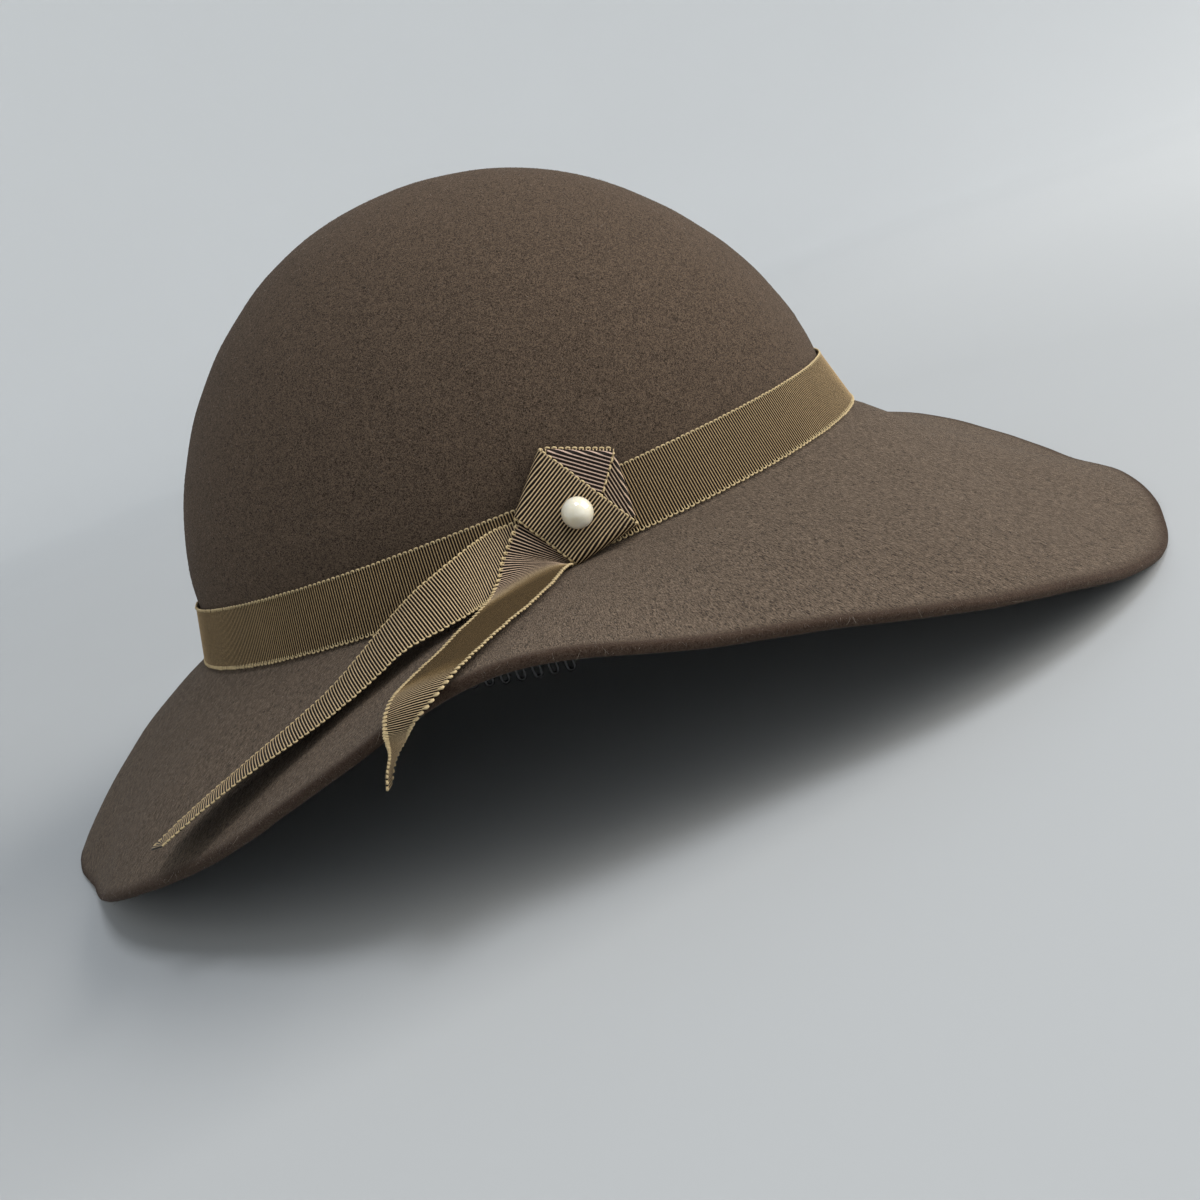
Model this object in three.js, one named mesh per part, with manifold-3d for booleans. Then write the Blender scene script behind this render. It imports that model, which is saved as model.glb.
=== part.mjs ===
// A wide-brim hat of wool felt: a round crown and a swept brim blocked from one
// felt body, a ribbed ribbon round the crown's foot, a five-sided ribbon knot
// with a pearl on the wearer's right, two ribbon tails and a wire hair comb.
// Millimetres. +X is the wearer's front, +Y the wearer's left, +Z up.
// Shapes are drawn on the hat's own head line (z = 0 at the ribbon's lower
// edge) and then leaned and lifted so that the hat rests on its brim at z = 0.

import * as THREE from 'three';
import { mergeVertices } from 'three/addons/utils/BufferGeometryUtils.js';
import Module from 'manifold-3d';

// ---------------------------------------------------------------- sizes, mm

const felt_thickness = 2.6;
const ribbon_width = 18.1;
const ribbon_thickness = 1.0;
const seat_gap = 0.3;

// The ribbon band's outer face is a slightly flared oval ring.
const band_low = { half_length: 111.1, half_width: 92.3, z: 1.1 };
const band_high = { half_length: 106.4, half_width: 88.1, z: 16.9 };

// The crown above the band is a full, round dome.
const crown_top = 109.4;
const dome_height_power = 1.59;
const dome_width_power = 2.14;

// The brim leaves the crown on the head line, just under the ribbon.
const head_line = -0.7;
const head_line_round = 1.6;

// Round the brim, seen from above and counted from the front to the wearer's
// left: the width along the felt, and the fall below level where it leaves the
// crown and at its cut edge.
const brim_rows = [
  { azimuth: 0, width: 94, fall_in: 41.5, fall_out: 31.5 },
  { azimuth: 12, width: 96, fall_in: 44, fall_out: 27 },
  { azimuth: 25, width: 96, fall_in: 37, fall_out: 21.5 },
  { azimuth: 38, width: 92, fall_in: 28.5, fall_out: 13.5 },
  { azimuth: 50, width: 87, fall_in: 22, fall_out: 10 },
  { azimuth: 70, width: 79, fall_in: 11, fall_out: 7 },
  { azimuth: 90, width: 72, fall_in: 4, fall_out: 5 },
  { azimuth: 130, width: 72, fall_in: 18, fall_out: 24 },
  { azimuth: 160, width: 80.5, fall_in: 23.5, fall_out: 40.5 },
  { azimuth: 180, width: 87, fall_in: 20, fall_out: 45 },
  { azimuth: 200, width: 76, fall_in: 25, fall_out: 52 },
  { azimuth: 220, width: 71, fall_in: 24, fall_out: 39 },
  { azimuth: 240, width: 68, fall_in: 19, fall_out: 23 },
  { azimuth: 255, width: 71, fall_in: 8, fall_out: 10 },
  { azimuth: 270, width: 74, fall_in: -2, fall_out: 1 },
  { azimuth: 290, width: 70, fall_in: 9, fall_out: 19 },
  { azimuth: 310, width: 82, fall_in: 22, fall_out: 31 },
  { azimuth: 335, width: 95, fall_in: 37.5, fall_out: 37.5 },
];

// How the head line leans when the hat rests on its brim, and how far the
// felt's lowest edge is pressed flat there.
const rest_pitch = -1.75;
const rest_roll = -2.03;
const rest_press = 1.2;

// The knot is a strip folded into a regular pentagon.
const knot_azimuth = -76.8;
const knot_height = 12.8;
const knot_turn = 100.6;
const knot_side = ribbon_width / Math.sin(THREE.MathUtils.degToRad(72));

// Layers of the knot, as heights of their back faces over the band.
const layer_step = ribbon_thickness + seat_gap;
const layer_low = seat_gap;
const layer_mid = layer_low + layer_step;
const layer_top = layer_mid + layer_step;

const pearl_diameter = 8.2;
const pearl_place = { along: -1.5, up: -3.2 };

// The comb's wire loops hang inside the head line on the wearer's right.
const comb = {
  loops: 9,
  pitch: 4.4,
  front_x: 7,
  bar_radius: 1.0,
  wire_radius: 0.45,
  loop_half_width: 1.0,
  bar_z: 6,
  tip_z: -28.4,
  tip_rise: 0.18,
};

// ------------------------------------------------------------ small helpers

const vec = (x, y, z) => new THREE.Vector3(x, y, z);
const rad = THREE.MathUtils.degToRad;
const mix = THREE.MathUtils.lerp;

// A loft through closed loops of points. The ends are fans round a point, or,
// for a ring, the last loop joins the first.
function loft(loops, ends = {}) {
  const size = loops[0].length;
  const points = loops.flat();
  const faces = [];
  const last = ends.ring ? loops.length : loops.length - 1;
  for (let i = 0; i < last; i += 1) {
    const here = i * size;
    const next = ((i + 1) % loops.length) * size;
    for (let j = 0; j < size; j += 1) {
      const k = (j + 1) % size;
      faces.push([here + j, next + j, next + k]);
      faces.push([here + j, next + k, here + k]);
    }
  }
  if (!ends.ring) {
    const centre = (loop) => loop.reduce((sum, p) => sum.add(p), vec(0, 0, 0)).divideScalar(size);
    const first = points.push(ends.first ?? centre(loops[0])) - 1;
    const final = points.push(ends.last ?? centre(loops[loops.length - 1])) - 1;
    const base = (loops.length - 1) * size;
    for (let j = 0; j < size; j += 1) {
      const k = (j + 1) % size;
      faces.push([first, j, k]);
      faces.push([final, base + k, base + j]);
    }
  }
  return solidGeometry(points, faces);
}

// An indexed geometry whose faces point out.
function solidGeometry(points, faces) {
  const volume = faces.reduce((sum, [a, b, c]) => (
    sum + points[a].dot(points[b].clone().cross(points[c]))
  ), 0);
  const turned = volume < 0 ? faces.map(([a, b, c]) => [a, c, b]) : faces;
  const geometry = new THREE.BufferGeometry();
  geometry.setAttribute('position', new THREE.Float32BufferAttribute(points.flatMap((p) => p.toArray()), 3));
  geometry.setIndex(turned.flat());
  geometry.computeVertexNormals();
  return geometry;
}

// A smooth closed curve through one column of the brim's table.
function roundTheBrim(column, azimuth) {
  const rows = brim_rows;
  const count = rows.length;
  const at = (i) => rows[(i + count) % count].azimuth + 360 * Math.floor(i / count);
  const value = (i) => rows[(i + count) % count][column];
  let i = count - 1;
  while (rows[i].azimuth > azimuth) i -= 1;
  const slope = (k) => {
    const before = at(k) - at(k - 1);
    const after = at(k + 1) - at(k);
    const rise_before = (value(k) - value(k - 1)) / before;
    const rise_after = (value(k + 1) - value(k)) / after;
    return (rise_before * after + rise_after * before) / (before + after);
  };
  const step = at(i + 1) - at(i);
  const t = (azimuth - at(i)) / step;
  const s = 1 - t;
  return (1 + 2 * t) * s * s * value(i)
    + t * s * s * step * slope(i)
    + t * t * (3 - 2 * t) * value(i + 1)
    - t * t * s * step * slope(i + 1);
}

// ------------------------------------------------------------ the felt body

const around = 64;
const azimuths = Array.from({ length: around }, (_, i) => (360 * i) / around);

// The felt's wall under the band stands one seat gap behind the ribbon.
const behind_ribbon = ribbon_thickness + seat_gap;

function ovalPoint(half_length, half_width, azimuth, z) {
  const a = rad(azimuth);
  return vec(half_length * Math.cos(a), half_width * Math.sin(a), z);
}

// The level direction that leads straight out from the head line.
function outward(azimuth) {
  const a = rad(azimuth);
  return vec(Math.cos(a) / band_low.half_length, Math.sin(a) / band_low.half_width, 0).normalize();
}

// The band's outer face at a height, moved out or in along the level.
function bandPoint(azimuth, z, out = 0) {
  const t = (z - band_low.z) / (band_high.z - band_low.z);
  const half_length = mix(band_low.half_length, band_high.half_length, t);
  const half_width = mix(band_low.half_width, band_high.half_width, t);
  return ovalPoint(half_length, half_width, azimuth, z).addScaledVector(outward(azimuth), out);
}

function domePoint(azimuth, climb) {
  const rise = Math.sin(climb) ** (2 / dome_height_power);
  const spread = Math.cos(climb) ** (2 / dome_width_power);
  const z = mix(band_high.z, crown_top, rise);
  const half_length = (band_high.half_length - behind_ribbon) * spread;
  const half_width = (band_high.half_width - behind_ribbon) * spread;
  return ovalPoint(half_length, half_width, azimuth, z);
}

// A point on the brim's upper face, a share of its width out from the crown.
function brimPoint(azimuth, share) {
  const width = roundTheBrim('width', azimuth);
  const fall_in = rad(roundTheBrim('fall_in', azimuth));
  const fall_out = rad(roundTheBrim('fall_out', azimuth));
  const turn = fall_out - fall_in || 1e-6;
  const fall = fall_in + turn * share;
  const out = (width * (Math.sin(fall) - Math.sin(fall_in))) / turn;
  const down = (width * (Math.cos(fall_in) - Math.cos(fall))) / turn;
  const start = bandPoint(azimuth, head_line, -behind_ribbon);
  return start.addScaledVector(outward(azimuth), out).setZ(head_line - down);
}

// The rounded inner corner where the crown's wall turns into the brim.
function headLinePoint(azimuth, t) {
  const wall = bandPoint(azimuth, head_line + head_line_round, -behind_ribbon);
  const corner = bandPoint(azimuth, head_line, -behind_ribbon);
  const brim = brimPoint(azimuth, head_line_round / roundTheBrim('width', azimuth));
  return wall.multiplyScalar((1 - t) * (1 - t))
    .addScaledVector(corner, 2 * t * (1 - t))
    .addScaledVector(brim, t * t);
}

function feltRings() {
  const climbs = [80, 70, 60, 51, 43, 35, 27, 20, 13, 6, 0];
  const shares = [0.1, 0.24, 0.4, 0.56, 0.72, 0.86, 0.96, 1];
  const rings = [];
  climbs.forEach((climb) => rings.push((azimuth) => domePoint(azimuth, rad(climb))));
  [11, 5].forEach((z) => rings.push((azimuth) => bandPoint(azimuth, z, -behind_ribbon)));
  [0, 0.5, 1].forEach((t) => rings.push((azimuth) => headLinePoint(azimuth, t)));
  shares.forEach((share) => rings.push((azimuth) => brimPoint(azimuth, share)));
  return rings.map((ring) => azimuths.map(ring));
}

// The same rings one felt thickness inside, square to the outer face.
function insideOf(rings, top) {
  return rings.map((ring, i) => ring.map((point, j) => {
    const above = i > 0 ? rings[i - 1][j] : top;
    const below = i < rings.length - 1 ? rings[i + 1][j] : point;
    const down = below.clone().sub(above);
    const left = ring[(j + 1) % around].clone().sub(ring[(j + around - 1) % around]);
    const inward = left.cross(down).normalize();
    if (inward.dot(vec(point.x, point.y, 60)) > 0) inward.negate();
    return point.clone().addScaledVector(inward, felt_thickness);
  }));
}

function feltBody() {
  const top = vec(0, 0, crown_top);
  const outer = feltRings();
  const inner = insideOf(outer, top);
  const inner_top = vec(0, 0, crown_top - felt_thickness);
  return loft([...outer, ...inner.reverse()], { first: top, last: inner_top });
}

// ---------------------------------------------------------- the ribbon band

function ribbonBand() {
  const heights = [band_low.z, mix(band_low.z, band_high.z, 0.5), band_high.z];
  const steps = Array.from({ length: 96 }, (_, i) => (360 * i) / 96);
  const section = (azimuth) => [
    ...heights.map((z) => bandPoint(azimuth, z)),
    ...heights.map((z) => bandPoint(azimuth, z, -ribbon_thickness)).reverse(),
  ];
  return loft(steps.map(section), { ring: true });
}

// ------------------------------------------------- the knot and its layers

// The knot's own axes: along the band to the front, up the band, and out.
function knotFrame() {
  const middle = bandPoint(knot_azimuth, knot_height);
  const up = bandPoint(knot_azimuth, knot_height + 1).sub(middle).normalize();
  const along = vec(0, 0, 1).cross(outward(knot_azimuth)).normalize();
  const out = along.clone().cross(up).normalize();
  return new THREE.Matrix4().makeBasis(along, up, out).setPosition(middle);
}

const knot_frame = knotFrame();

function onKnot(along, up, out) {
  return vec(along, up, out).applyMatrix4(knot_frame);
}

// The corners A to E run clockwise from the knot's top, seen from outside.
const knot_radius = knot_side / (2 * Math.sin(rad(36)));
const [A, B, C, D, E] = [0, 1, 2, 3, 4].map((i) => {
  const turn = rad(knot_turn - 72 * i);
  return new THREE.Vector2(knot_radius * Math.cos(turn), knot_radius * Math.sin(turn));
});

const between = (p, q, t) => p.clone().lerp(q, t);
const inset = (p, distance) => p.clone().setLength(p.length() - distance);

function knotLayer(corners, height) {
  const shape = new THREE.Shape(corners.map((p) => inset(p, seat_gap)));
  const layer = new THREE.ExtrudeGeometry(shape, { depth: ribbon_thickness, bevelEnabled: false });
  return layer.translate(0, 0, height).applyMatrix4(knot_frame);
}

const knot_heart = new THREE.Vector2(2, 0);
const knotWrap = () => knotLayer([A, E, D, C], layer_top);
const knotTopFold = () => knotLayer([A, between(A, E, 0.35), knot_heart, B], layer_mid);
const knotSideFold = () => knotLayer([B, knot_heart, between(C, D, 0.35), C], layer_low);

function pearl() {
  const radius = pearl_diameter / 2;
  const out = layer_top + ribbon_thickness + seat_gap + radius;
  const centre = onKnot(pearl_place.along, pearl_place.up, out);
  return new THREE.SphereGeometry(radius, 20, 14).translate(centre.x, centre.y, centre.z);
}

// ---------------------------------------------------------- ribbon tails

// Rows run from the knot to the cut end; each holds a point of the strip's two
// woven edges.
const tail_long_rows = [
  { top_edge: onKnot(-5, 2.8, 0.8), low_edge: onKnot(-6, -12.4, 0.8) },
  { top_edge: onKnot(-11.5, 2.4, 0.8), low_edge: onKnot(-13, -12.6, 1.0) },
  { top_edge: onKnot(-17.8, 1.6, 0.6), low_edge: onKnot(-19, -13.0, 2.8) },
  { top_edge: vec(2.2, -91.8, 14.6), low_edge: vec(4.8, -101.6, 1.3) },
  { top_edge: vec(-5.0, -97.8, 13.6), low_edge: vec(-2.2, -109.2, 1.6) },
  { top_edge: vec(-12.6, -102.6, 11.6), low_edge: vec(-7.0, -116.0, 1.6) },
  { top_edge: vec(-19.0, -105.0, 9.7), low_edge: vec(-12.6, -120.0, 1.4) },
  { top_edge: vec(-28.2, -107.0, 5.4), low_edge: vec(-22.6, -123.6, 0.6) },
  { top_edge: vec(-36.5, -109.0, 0.9), low_edge: vec(-31.0, -126.2, -2.4) },
  { top_edge: vec(-45.9, -111.4, -3.8), low_edge: vec(-40.4, -128.6, -5.4) },
  { top_edge: vec(-56.1, -113.3, -7.6), low_edge: vec(-50.3, -130.4, -8.0) },
  { top_edge: vec(-65.8, -114.4, -10.7), low_edge: vec(-60.3, -131.4, -10.2) },
  { top_edge: vec(-75.1, -115.0, -13.8), low_edge: vec(-69.8, -132.2, -12.5) },
  { top_edge: vec(-87.4, -116.0, -18.0), low_edge: vec(-81.9, -133.0, -16.2) },
  { top_edge: vec(-97.4, -117.6, -21.8), low_edge: vec(-91.0, -134.0, -19.4) },
  { top_edge: vec(-103.0, -119.6, -24.0), low_edge: vec(-91.8, -134.2, -19.7) },
];

const tail_short_rows = [
  { top_edge: onKnot(-8, 2.5, 2.1), low_edge: onKnot(-3, -11, 2.1) },
  { top_edge: onKnot(-12.5, 1.8, 2.1), low_edge: onKnot(-6.5, -12, 2.1) },
  { top_edge: onKnot(-17.4, 0.4, 2.3), low_edge: onKnot(-10.4, -12.4, 2.5) },
  { top_edge: vec(4.5, -101.2, 9.9), low_edge: vec(17.6, -100.3, 1.7) },
  { top_edge: vec(1.1, -109.4, 6.1), low_edge: vec(17.2, -107.4, 1.4) },
  { top_edge: vec(-2.0, -115.6, 3.9), low_edge: vec(14.6, -115.2, 1.3) },
  { top_edge: vec(-4.6, -121.0, 2.6), low_edge: vec(11.7, -125.4, 1.3) },
  { top_edge: vec(-7.6, -130.0, 2.2), low_edge: vec(8.2, -136.4, 1.8) },
  { top_edge: vec(-11.0, -139.4, 1.6), low_edge: vec(4.6, -146.4, 2.2) },
  { top_edge: vec(-15.0, -149.4, 1.2), low_edge: vec(0.8, -155.6, 2.2) },
  { top_edge: vec(-18.0, -157.6, 0.8), low_edge: vec(-3.0, -162.6, 2.0) },
  { top_edge: vec(-19.4, -163.4, 0.6), low_edge: vec(-6.8, -168.0, 0.8) },
  { top_edge: vec(-20.4, -168.4, -0.8), low_edge: vec(-10.6, -170.8, -0.8) },
  { top_edge: vec(-21.1, -170.6, -2.8), low_edge: vec(-13.8, -170.0, -4.0) },
  { top_edge: vec(-21.9, -171.0, -5.2), low_edge: vec(-18.0, -164.0, -7.0) },
  { top_edge: vec(-22.4, -171.0, -7.3), low_edge: vec(-22.2, -158.4, -9.6) },
  { top_edge: vec(-23.6, -171.0, -9.4), low_edge: vec(-25.4, -156.0, -12.4) },
  { top_edge: vec(-25.0, -171.0, -11.8), low_edge: vec(-28.0, -154.5, -15.4) },
  { top_edge: vec(-26.6, -170.0, -15.4), low_edge: vec(-30.0, -154.5, -19.2) },
];

// A flat strip of ribbon between two edges, one ribbon thickness thick.
function ribbonStrip(rows, steps) {
  const top = new THREE.CatmullRomCurve3(rows.map((row) => row.top_edge));
  const low = new THREE.CatmullRomCurve3(rows.map((row) => row.low_edge));
  const sections = [];
  for (let i = 0; i <= steps; i += 1) {
    const t = i / steps;
    const a = top.getPoint(t);
    const b = low.getPoint(t);
    const run = top.getTangent(t).add(low.getTangent(t));
    const face = b.clone().sub(a).cross(run).setLength(ribbon_thickness / 2);
    const middle = a.clone().lerp(b, 0.5);
    sections.push([
      a.clone().add(face), middle.clone().add(face), b.clone().add(face),
      b.clone().sub(face), middle.clone().sub(face), a.clone().sub(face),
    ]);
  }
  return loft(sections);
}

// ---------------------------------------------------------- the hair comb

const wasm = await Module();
wasm.setup();

function toSolid(geometry) {
  const bare = geometry.clone();
  bare.deleteAttribute('normal');
  bare.deleteAttribute('uv');
  const merged = mergeVertices(bare, 1e-4);
  return new wasm.Manifold(new wasm.Mesh({
    numProp: 3,
    vertProperties: new Float32Array(merged.attributes.position.array),
    triVerts: new Uint32Array(merged.index.array),
  }));
}

function fromSolid(solid) {
  const mesh = solid.getMesh();
  const geometry = new THREE.BufferGeometry();
  geometry.setAttribute('position', new THREE.BufferAttribute(new Float32Array(mesh.vertProperties), 3));
  geometry.setIndex([...mesh.triVerts]);
  geometry.computeVertexNormals();
  return geometry;
}

function tube(points, radius, sides, steps) {
  const section = new THREE.Shape().absarc(0, 0, radius, 0, 2 * Math.PI, false);
  const path = new THREE.CatmullRomCurve3(points);
  return new THREE.ExtrudeGeometry(section, { extrudePath: path, steps, curveSegments: sides / 2 });
}

// A point on the felt's inner wall, a distance in from it.
function insideWall(x, z, distance) {
  const wall = behind_ribbon + felt_thickness + distance;
  const azimuth = -90 + (Math.asin(x / (band_low.half_length - wall)) * 180) / Math.PI;
  return bandPoint(azimuth, z, -wall);
}

function hairComb() {
  const stand_off = seat_gap + 0.2 + comb.bar_radius;
  const spots = Array.from({ length: comb.loops }, (_, i) => comb.front_x - comb.pitch * i);
  const ends = [comb.front_x + 3, ...spots, comb.front_x - comb.pitch * comb.loops];
  const bar = tube(ends.map((x) => insideWall(x, comb.bar_z, stand_off)), comb.bar_radius, 8, 24);
  return fromSolid(spots.reduce((solid, x) => {
    const tip_z = comb.tip_z + comb.tip_rise * (comb.front_x - x);
    const top = insideWall(x, comb.bar_z, stand_off);
    const leg = (side, z) => vec(top.x + side * comb.loop_half_width, top.y, z);
    const round = Array.from({ length: 7 }, (_, i) => {
      const turn = Math.PI * (1 + i / 6);
      const drop = comb.loop_half_width * Math.sin(turn);
      return leg(Math.cos(turn), tip_z + comb.loop_half_width + drop);
    });
    const middle_z = mix(comb.bar_z, tip_z, 0.5);
    const loop = [leg(-1, comb.bar_z), leg(-1, middle_z), ...round, leg(1, middle_z), leg(1, comb.bar_z)];
    return solid.add(toSolid(tube(loop, comb.wire_radius, 6, 30)));
  }, toSolid(bar)));
}

// ---------------------------------------------------------------- the hat

const felt_look = { color: 0x5d5148, roughness: 0.95, metalness: 0 };
const ribbon_look = { color: 0x6a5c42, roughness: 0.7, metalness: 0 };
const pearl_look = { color: 0xe9e4d4, roughness: 0.2, metalness: 0 };
const wire_look = { color: 0x1b1b1d, roughness: 0.4, metalness: 0.6 };

const pieces = [
  ['felt_body', feltBody(), felt_look],
  ['ribbon_band', ribbonBand(), ribbon_look],
  ['knot_wrap', knotWrap(), ribbon_look],
  ['knot_top_fold', knotTopFold(), ribbon_look],
  ['knot_side_fold', knotSideFold(), ribbon_look],
  ['tail_long', ribbonStrip(tail_long_rows, 36), ribbon_look],
  ['tail_short', ribbonStrip(tail_short_rows, 42), ribbon_look],
  ['pearl', pearl(), pearl_look],
  ['hair_comb', hairComb(), wire_look],
];

// The lean that the hat takes when it rests, then up onto z = 0, with the
// felt's lowest edge pressed level with the surface.
const lean = new THREE.Matrix4().makeRotationFromEuler(new THREE.Euler(rad(rest_roll), rad(rest_pitch), 0));
pieces.forEach(([, geometry]) => geometry.applyMatrix4(lean));
const felt = pieces.find(([name]) => name === 'felt_body');
felt[1].computeBoundingBox();
const floor = felt[1].boundingBox.min.z + rest_press;
felt[1] = fromSolid(toSolid(felt[1]).trimByPlane([0, 0, 1], floor));

const hat = new THREE.Group();
pieces.forEach(([name, geometry, look]) => {
  const mesh = new THREE.Mesh(geometry, new THREE.MeshStandardMaterial(look));
  mesh.name = name;
  hat.add(mesh);
});

const extent = new THREE.Box3().setFromObject(hat);
const middle = extent.getCenter(vec(0, 0, 0));
hat.position.set(-middle.x, -middle.y, -extent.min.z);

export default hat;
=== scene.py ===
"""A wide-brim hat of wool felt with a ribbed ribbon round the crown, a ribbon
knot with a pearl on the wearer's right, two ribbon tails and a wire comb.

Shapes are worked out in millimetres on the hat's own head line, with +X to
the wearer's front, +Y to the wearer's left and +Z up the crown. Each piece is
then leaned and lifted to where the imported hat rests, in metres.
"""

import math

import bpy
import numpy as np
from mathutils import Matrix, Vector


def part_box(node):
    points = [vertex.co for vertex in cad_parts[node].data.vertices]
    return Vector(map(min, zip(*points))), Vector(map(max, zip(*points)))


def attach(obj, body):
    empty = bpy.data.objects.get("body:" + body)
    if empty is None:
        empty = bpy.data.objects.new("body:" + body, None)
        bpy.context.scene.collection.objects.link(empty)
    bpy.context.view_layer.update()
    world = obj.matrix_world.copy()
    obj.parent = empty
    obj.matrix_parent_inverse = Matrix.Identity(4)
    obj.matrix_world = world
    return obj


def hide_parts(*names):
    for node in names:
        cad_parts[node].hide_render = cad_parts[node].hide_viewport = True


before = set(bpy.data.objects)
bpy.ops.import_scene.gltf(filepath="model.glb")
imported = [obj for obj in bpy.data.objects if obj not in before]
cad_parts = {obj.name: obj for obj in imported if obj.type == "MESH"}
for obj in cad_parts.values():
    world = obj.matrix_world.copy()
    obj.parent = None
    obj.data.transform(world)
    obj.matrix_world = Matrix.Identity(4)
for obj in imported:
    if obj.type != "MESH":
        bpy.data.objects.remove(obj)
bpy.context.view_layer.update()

# ------------------------------------------------------------------ sizes, mm

felt_thickness = 2.6
ribbon_width = 18.1
behind_ribbon = 1.3
rib_pitch = 0.82
knot_rib_pitch = 0.865

# How the head line leans when the hat rests on its brim, in degrees.
rest_roll = -2.03
rest_pitch = -1.75

# The ribbon band's outer face is a slightly flared oval ring.
band_low = {"half_length": 111.1, "half_width": 92.3, "z": 1.1}
band_high = {"half_length": 106.4, "half_width": 88.1, "z": 16.9}

# The crown above the band, and the corner under it where the brim starts.
crown_top = 109.4
dome_height_power = 1.59
dome_width_power = 2.14
head_line = -0.7
head_line_round = 1.6

# Round the brim from the front to the wearer's left: its width along the felt,
# and its fall below level at the crown and at the cut edge, in degrees.
brim_columns = ("azimuth", "width", "fall_in", "fall_out")
brim_rows = [
    (0, 94, 41.5, 31.5),
    (12, 96, 44, 27),
    (25, 96, 37, 21.5),
    (38, 92, 28.5, 13.5),
    (50, 87, 22, 10),
    (70, 79, 11, 7),
    (90, 72, 4, 5),
    (130, 72, 18, 24),
    (160, 80.5, 23.5, 40.5),
    (180, 87, 20, 45),
    (200, 76, 25, 52),
    (220, 71, 24, 39),
    (240, 68, 19, 23),
    (255, 71, 8, 10),
    (270, 74, -2, 1),
    (290, 70, 9, 19),
    (310, 82, 22, 31),
    (335, 95, 37.5, 37.5),
]

# The knot is a strip folded into a regular pentagon.
knot_azimuth = -76.8
knot_height = 12.8
knot_turn = 100.6
knot_side = ribbon_width / math.sin(math.radians(72))
knot_radius = knot_side / (2 * math.sin(math.radians(36)))

wrap_height = 3.9
pearl_place = (-1.5, -3.2)

# The comb: its bar and wire, how far from the bar's middle the wire is wound, and half a tooth's width.
bar_radius, wire_radius = 0.8, 0.48
wind_radius = 1.22
tooth_half = 1


# ------------------------------------------------------------- small helpers

def unit(vectors):
    return vectors / np.maximum(np.linalg.norm(vectors, axis=-1, keepdims=True), 1e-12)


def mix(a, b, t):
    return a + (b - a) * t


def xyz(x, y, z):
    """One array of points from three arrays or numbers."""
    return np.stack(np.broadcast_arrays(x, y, z), axis=-1).astype(float)


def lean_matrix():
    roll, pitch = math.radians(rest_roll), math.radians(rest_pitch)
    return np.array(Matrix.Rotation(roll, 3, "X") @ Matrix.Rotation(pitch, 3, "Y"))


def outward(azimuth):
    """The level direction that leads straight out from the head line."""
    a = np.radians(azimuth)
    return unit(xyz(np.cos(a) / band_low["half_length"], np.sin(a) / band_low["half_width"], 0))


def band_point(azimuth, z, out=0.0):
    """The ribbon band's outer face, moved out or in along the level."""
    a = np.radians(azimuth)
    t = (z - band_low["z"]) / (band_high["z"] - band_low["z"])
    length = mix(band_low["half_length"], band_high["half_length"], t)
    width = mix(band_low["half_width"], band_high["half_width"], t)
    out = np.asarray(out, float)[..., None]
    return xyz(length * np.cos(a), width * np.sin(a), z) + outward(azimuth) * out


lean = lean_matrix()


def lift():
    """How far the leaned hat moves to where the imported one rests, found from the band's box."""
    steps = np.arange(96) * 360 / 96
    ring = [band_point(steps, z, out) @ lean.T
            for z in (band_low["z"], band_high["z"]) for out in (0.0, -1.0)]
    low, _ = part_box("ribbon_band")
    return np.array(low) * 1000 - np.concatenate(ring).min(0)


lift_mm = lift()


def placed(points):
    """Points of the hat's own frame, in mm, as points of the resting hat, in metres."""
    return (np.asarray(points, float) @ lean.T + lift_mm) / 1000


def unevenness(points, wavelength, seed):
    """A smooth value about -1 to 1 that wanders over the hat's surface."""
    random = np.random.default_rng(seed)
    total = np.zeros(points.shape[:-1])
    for _ in range(7):
        way = unit(random.normal(size=3)) * 2 * math.pi / (wavelength * random.uniform(0.7, 1.6))
        total += np.sin(points @ way + random.uniform(0, 2 * math.pi))
    return total / 3.2


def grid_faces(rows, columns, ring_rows=False, ring_columns=False):
    """Quads over a grid of points, counted row by row."""
    r = np.arange(rows if ring_rows else rows - 1)
    c = np.arange(columns if ring_columns else columns - 1)
    r, c = np.meshgrid(r, c, indexing="ij")
    r_next, c_next = (r + 1) % rows, (c + 1) % columns
    quads = [r * columns + c, r * columns + c_next, r_next * columns + c_next, r_next * columns + c]
    return np.stack(quads, -1).reshape(-1, 4)


def turned_out(points, faces):
    """The faces, all turned so that a closed body's volume is positive."""
    volume = 0.0
    for group in faces:
        corners = points[group]
        for k in range(1, group.shape[1] - 1):
            volume += np.einsum("ij,ij->", corners[:, 0], np.cross(corners[:, k], corners[:, k + 1]))
    return faces if volume > 0 else [group[:, ::-1] for group in faces]


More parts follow.
